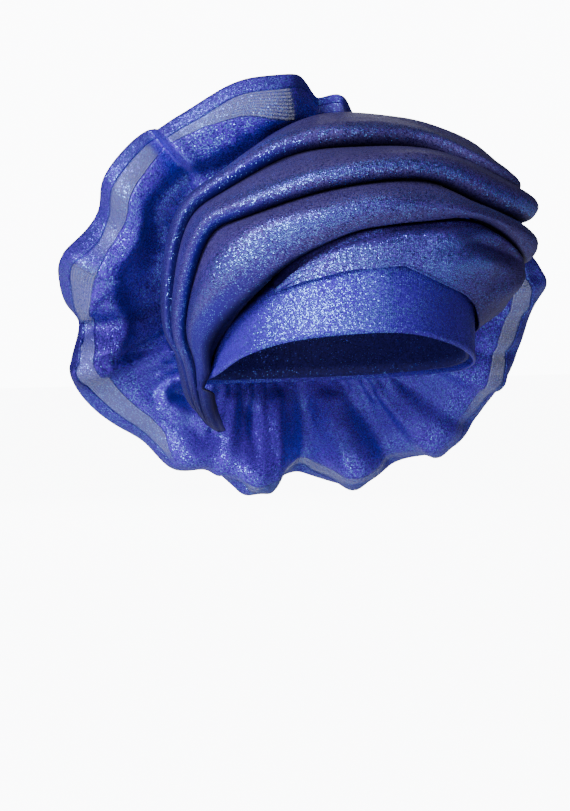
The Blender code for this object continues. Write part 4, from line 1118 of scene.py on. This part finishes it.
def mark(tree, name):
    """Value that the mesh of a cloth holds at each of its points."""
    return add(tree, "ShaderNodeAttribute", attribute_name=name).outputs["Fac"]


def new_material(name):
    """Material with its node tree and its surface shader."""
    material = bpy.data.materials.new(name)
    material.use_nodes = True
    return material, material.node_tree, material.node_tree.nodes["Principled BSDF"]


def glitter_cloth(name, glitter, weave, sheer=False):
    """Material of one cloth: deep blue ground, painted mauve sheen facing up, painted shade and glitter
    threads.
    """
    deep, lit, share, sheen_share, roughness = FINISHES[name if name in FINISHES else "ruffle_cloth"]
    material, tree, shader = new_material(name)
    place = add(tree, "ShaderNodeUVMap", uv_map="cloth").outputs[0]
    here = add(tree, "ShaderNodeTexCoord").outputs["Object"]
    threads = add(tree, "ShaderNodeGroup", {"Place": place, "Thread Pitch": THREAD_PITCH},
                  node_tree=weave).outputs
    patches = add(tree, "ShaderNodeTexNoise",
                  {"Vector": here, "Scale": PATCH_SCALE, "Detail": 3.0}).outputs[0]
    bump = add(tree, "ShaderNodeBump",
               {"Strength": 0.35, "Distance": THREAD_RELIEF, "Height": threads["Threads"]})
    amount = maths(tree, "MULTIPLY", ramp(tree, patches, 0.25, 0.75), share * FLAKE_PATCHES)
    amount = maths(tree, "ADD", amount, share * FLAKE_EVEN)
    # Painted highlight: the share of glittering flakes follows a mark that is high where light catches the
    # cloth and low where the cloth is in painted shade.
    lit_glitter = mark(tree, "lit_glitter")
    shade = mark(tree, "shade")
    amount = maths(tree, "MULTIPLY", maths(tree, "MULTIPLY", amount, lit_glitter), shade)
    flakes = add(tree, "ShaderNodeGroup",
                 {"Place": place, "Surface": bump.outputs[0], "Flake Size": FLAKE_SIZE, "Share": amount,
                  "Tilt": FLAKE_TILT}, node_tree=glitter).outputs
    ground = maths(tree, "MULTIPLY", threads["Unevenness"], flakes["Grain"])
    colour = blend(tree, ramp(tree, ground, 0.08, 0.40), deep, lit)
    # Painted sheen: mauve where the cloth faces up, and where its glitter is in painted shade.
    surface = add(tree, "ShaderNodeNewGeometry").outputs["Normal"]
    upward = add(tree, "ShaderNodeSeparateXYZ", {0: surface}).outputs[2]
    shaded_glitter = maths(tree, "SUBTRACT", 1.0, lit_glitter)
    plain = maths(tree, "MAXIMUM", ramp(tree, upward, 0.15, 0.85), shaded_glitter, clamp=True)
    mauve = maths(tree, "MULTIPLY", plain, ramp(tree, flakes["Grain"], 0.1, 0.8))
    colour = blend(tree, maths(tree, "MULTIPLY", mauve, sheen_share), colour, MAUVE_SHEEN)
    # Painted shade: the colour turns violet-blue where the mark for the pleats' undersides and far side is
    # high.
    colour = blend(tree, mark(tree, "royal_shade"), colour, ROYAL_SHADE)
    flake = blend(tree, flakes["Spark"], FLAKE_DIM, FLAKE_BRIGHT)
    colour = blend(tree, flakes["Flakes"], colour, flake)
    # Painted shade: where the shade mark is low, the colour goes to a near-black blue and the surface turns
    # fully metallic, so that it shows no gloss.
    colour = blend(tree, shade, PAINTED_SHADE_COLOUR, colour)
    rough, metal = (add(tree, "ShaderNodeMapRange", {"Value": flakes["Flakes"], "To Min": ground_value,
                                                     "To Max": flake_value}).outputs[0]
                    for ground_value, flake_value in ((roughness, FLAKE_GLOSS), (GROUND_METAL, 1.0)))
    metal = maths(tree, "MAXIMUM", metal, maths(tree, "SUBTRACT", 1.0, shade))
    if sheer:
        clear = mark(tree, "clear")
        pale = blend(tree, ramp(tree, threads["Unevenness"], 0.3, 0.7), SHEER_COLOUR,
                     tuple(c * SHEER_LIGHTEN for c in SHEER_COLOUR))
        pale = blend(tree, maths(tree, "MULTIPLY", flakes["Flakes"], 0.8), pale, flake)
        colour = blend(tree, clear, colour, pale)
        least = SHEER_COVER - SHEER_UNEVEN / 2.0
        cover = maths(tree, "MULTIPLY_ADD", threads["Threads"], SHEER_UNEVEN, least)
        cover = maths(tree, "MAXIMUM", cover, maths(tree, "MULTIPLY", flakes["Flakes"], 0.9))
        opaque = maths(tree, "SUBTRACT", 1.0, clear)
        seen = maths(tree, "ADD", maths(tree, "MULTIPLY", cover, clear), opaque, clamp=True)
        tree.links.new(seen, shader.inputs["Alpha"])
    for socket, value in (("Base Color", colour), ("Roughness", rough), ("Metallic", metal),
                          ("Normal", flakes["Normal"])):
        tree.links.new(value, shader.inputs[socket])
    for socket, value in CLOTH_SHEEN.items():
        shader.inputs[socket].default_value = value
    return material


def thread_material():
    """Polyester sewing thread."""
    material, tree, shader = new_material("sewing_thread")
    here = add(tree, "ShaderNodeTexCoord").outputs["Object"]
    twist = add(tree, "ShaderNodeTexNoise", {"Vector": here, "Scale": TWIST_SCALE}).outputs[0]
    twisted = blend(tree, twist, STITCH_DARK, STITCH_LIGHT)
    tree.links.new(twisted, shader.inputs["Base Color"])
    shader.inputs["Roughness"].default_value = 0.5
    return material


def finish_piece(item, material, slot, *nodes):
    """Finish a piece: its material, its body and the solids that it stands for. The slot argument is not
    used.
    """
    if material is not None:
        item.data.materials.append(material)
    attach(item, "root")
    if nodes:
        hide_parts(*nodes)


def way_to(bearing, rise):
    """Direction at a bearing from the front and an angle above the floor."""
    return Vector((math.sin(bearing) * math.cos(rise), -math.cos(bearing) * math.cos(rise), math.sin(rise)))


def studio():
    """Pale floor, even surround and soft lamps."""
    half = FLOOR_SIZE / 2.0
    corners = [(-half, -half, FLOOR_HEIGHT), (half, -half, FLOOR_HEIGHT), (half, half, FLOOR_HEIGHT),
               (-half, half, FLOOR_HEIGHT)]
    floor = mesh_object("floor", corners, [(0, 1, 2, 3)])
    paper, tree, shader = new_material("floor_paper")
    shader.inputs["Base Color"].default_value = (*SURROUND, 1.0)
    shader.inputs["Roughness"].default_value = 0.9
    shader.inputs["Emission Color"].default_value = (*SURROUND, 1.0)
    seen = add(tree, "ShaderNodeLightPath").outputs["Is Camera Ray"]
    tree.links.new(maths(tree, "MULTIPLY", seen, FLOOR_GLOW), shader.inputs["Emission Strength"])
    floor.data.materials.append(paper)
    world = bpy.data.worlds.new("surround")
    world.use_nodes = True
    bpy.context.scene.world = world
    tree = world.node_tree
    path = add(tree, "ShaderNodeLightPath").outputs["Is Camera Ray"]
    strength = add(tree, "ShaderNodeMapRange",
                   {"Value": path, "To Min": SURROUND_LIGHT, "To Max": SURROUND_SEEN})
    surround = tree.nodes["Background"]
    surround.inputs["Color"].default_value = (*SURROUND, 1.0)
    tree.links.new(strength.outputs[0], surround.inputs["Strength"])
    for name, bearing, rise, distance, size, watts in LAMPS:
        lamp = bpy.data.lights.new(name, "AREA")
        lamp.size = size
        lamp.energy = watts
        item = in_scene(name, lamp)
        away = way_to(math.radians(bearing), math.radians(rise))
        item.matrix_world = away.to_track_quat("Z", "Y").to_matrix().to_4x4()
        item.location = away * distance


def camera():
    """Camera at the photograph's angle."""
    back = way_to(VIEW_BEARING, VIEW_RISE)
    right = Vector((math.cos(VIEW_BEARING), math.sin(VIEW_BEARING), 0.0))
    up = back.cross(right)
    lens = bpy.data.cameras.new("photo_camera")
    lens.lens = LENS
    lens.clip_end = 30.0
    item = in_scene("photo_camera", lens)
    aim = right * AIM_ACROSS + up * AIM_UP
    item.matrix_world = Matrix((right, up, back)).transposed().to_4x4()
    item.location = aim + back * VIEW_DISTANCE
    bpy.context.scene.camera = item


def main():
    """Dress the frame."""
    camera()
    studio()
    glitter = glitter_group()
    weave = weave_group()
    cloths = {name: glitter_cloth(name, glitter, weave) for name in FINISHES}
    sheer = glitter_cloth("sheer_cloth", glitter, weave, sheer=True)
    thread = thread_material()

    cap = cap_cloth()
    finish_piece(cap, cloths["cap_cloth"], "cap_cloth", "crown_cap")
    band = band_cloth()
    finish_piece(band, cloths["band_cloth"], "band_cloth", "forehead_band")
    sections = wrap_sections(np.linspace(0, len(LOWER_LIP) - 1, WRAP_STEPS))
    for which, (name, node) in enumerate((("lower_roll", "lower_pleat"), ("middle_roll", "middle_pleat"),
                                          ("upper_roll", "upper_pleat"))):
        roll = pleat_cloth(name, sections, which, PLEAT_ROWS[which], 2 + which)
        finish_piece(roll, cloths["pleat_cloth"], "pleat_cloth", node)
    drape = drape_cloth()
    finish_piece(drape, cloths["drape_cloth"], "drape_cloth", "front_drape")
    (body, strip, hem), lines = ruffle_strips()
    tree = stitch_tree()
    for name, line in zip(("hem_stitches", "strip_stitches"), lines):
        finish_piece(stitches(name, line, tree, thread), None, "hem_cloth")
    finish_piece(body, cloths["ruffle_cloth"], "ruffle_cloth", "ruffle")
    finish_piece(strip, sheer, "sheer_cloth", "ruffle_sheer")
    finish_piece(hem, cloths["hem_cloth"], "hem_cloth", "ruffle_hem")


main()
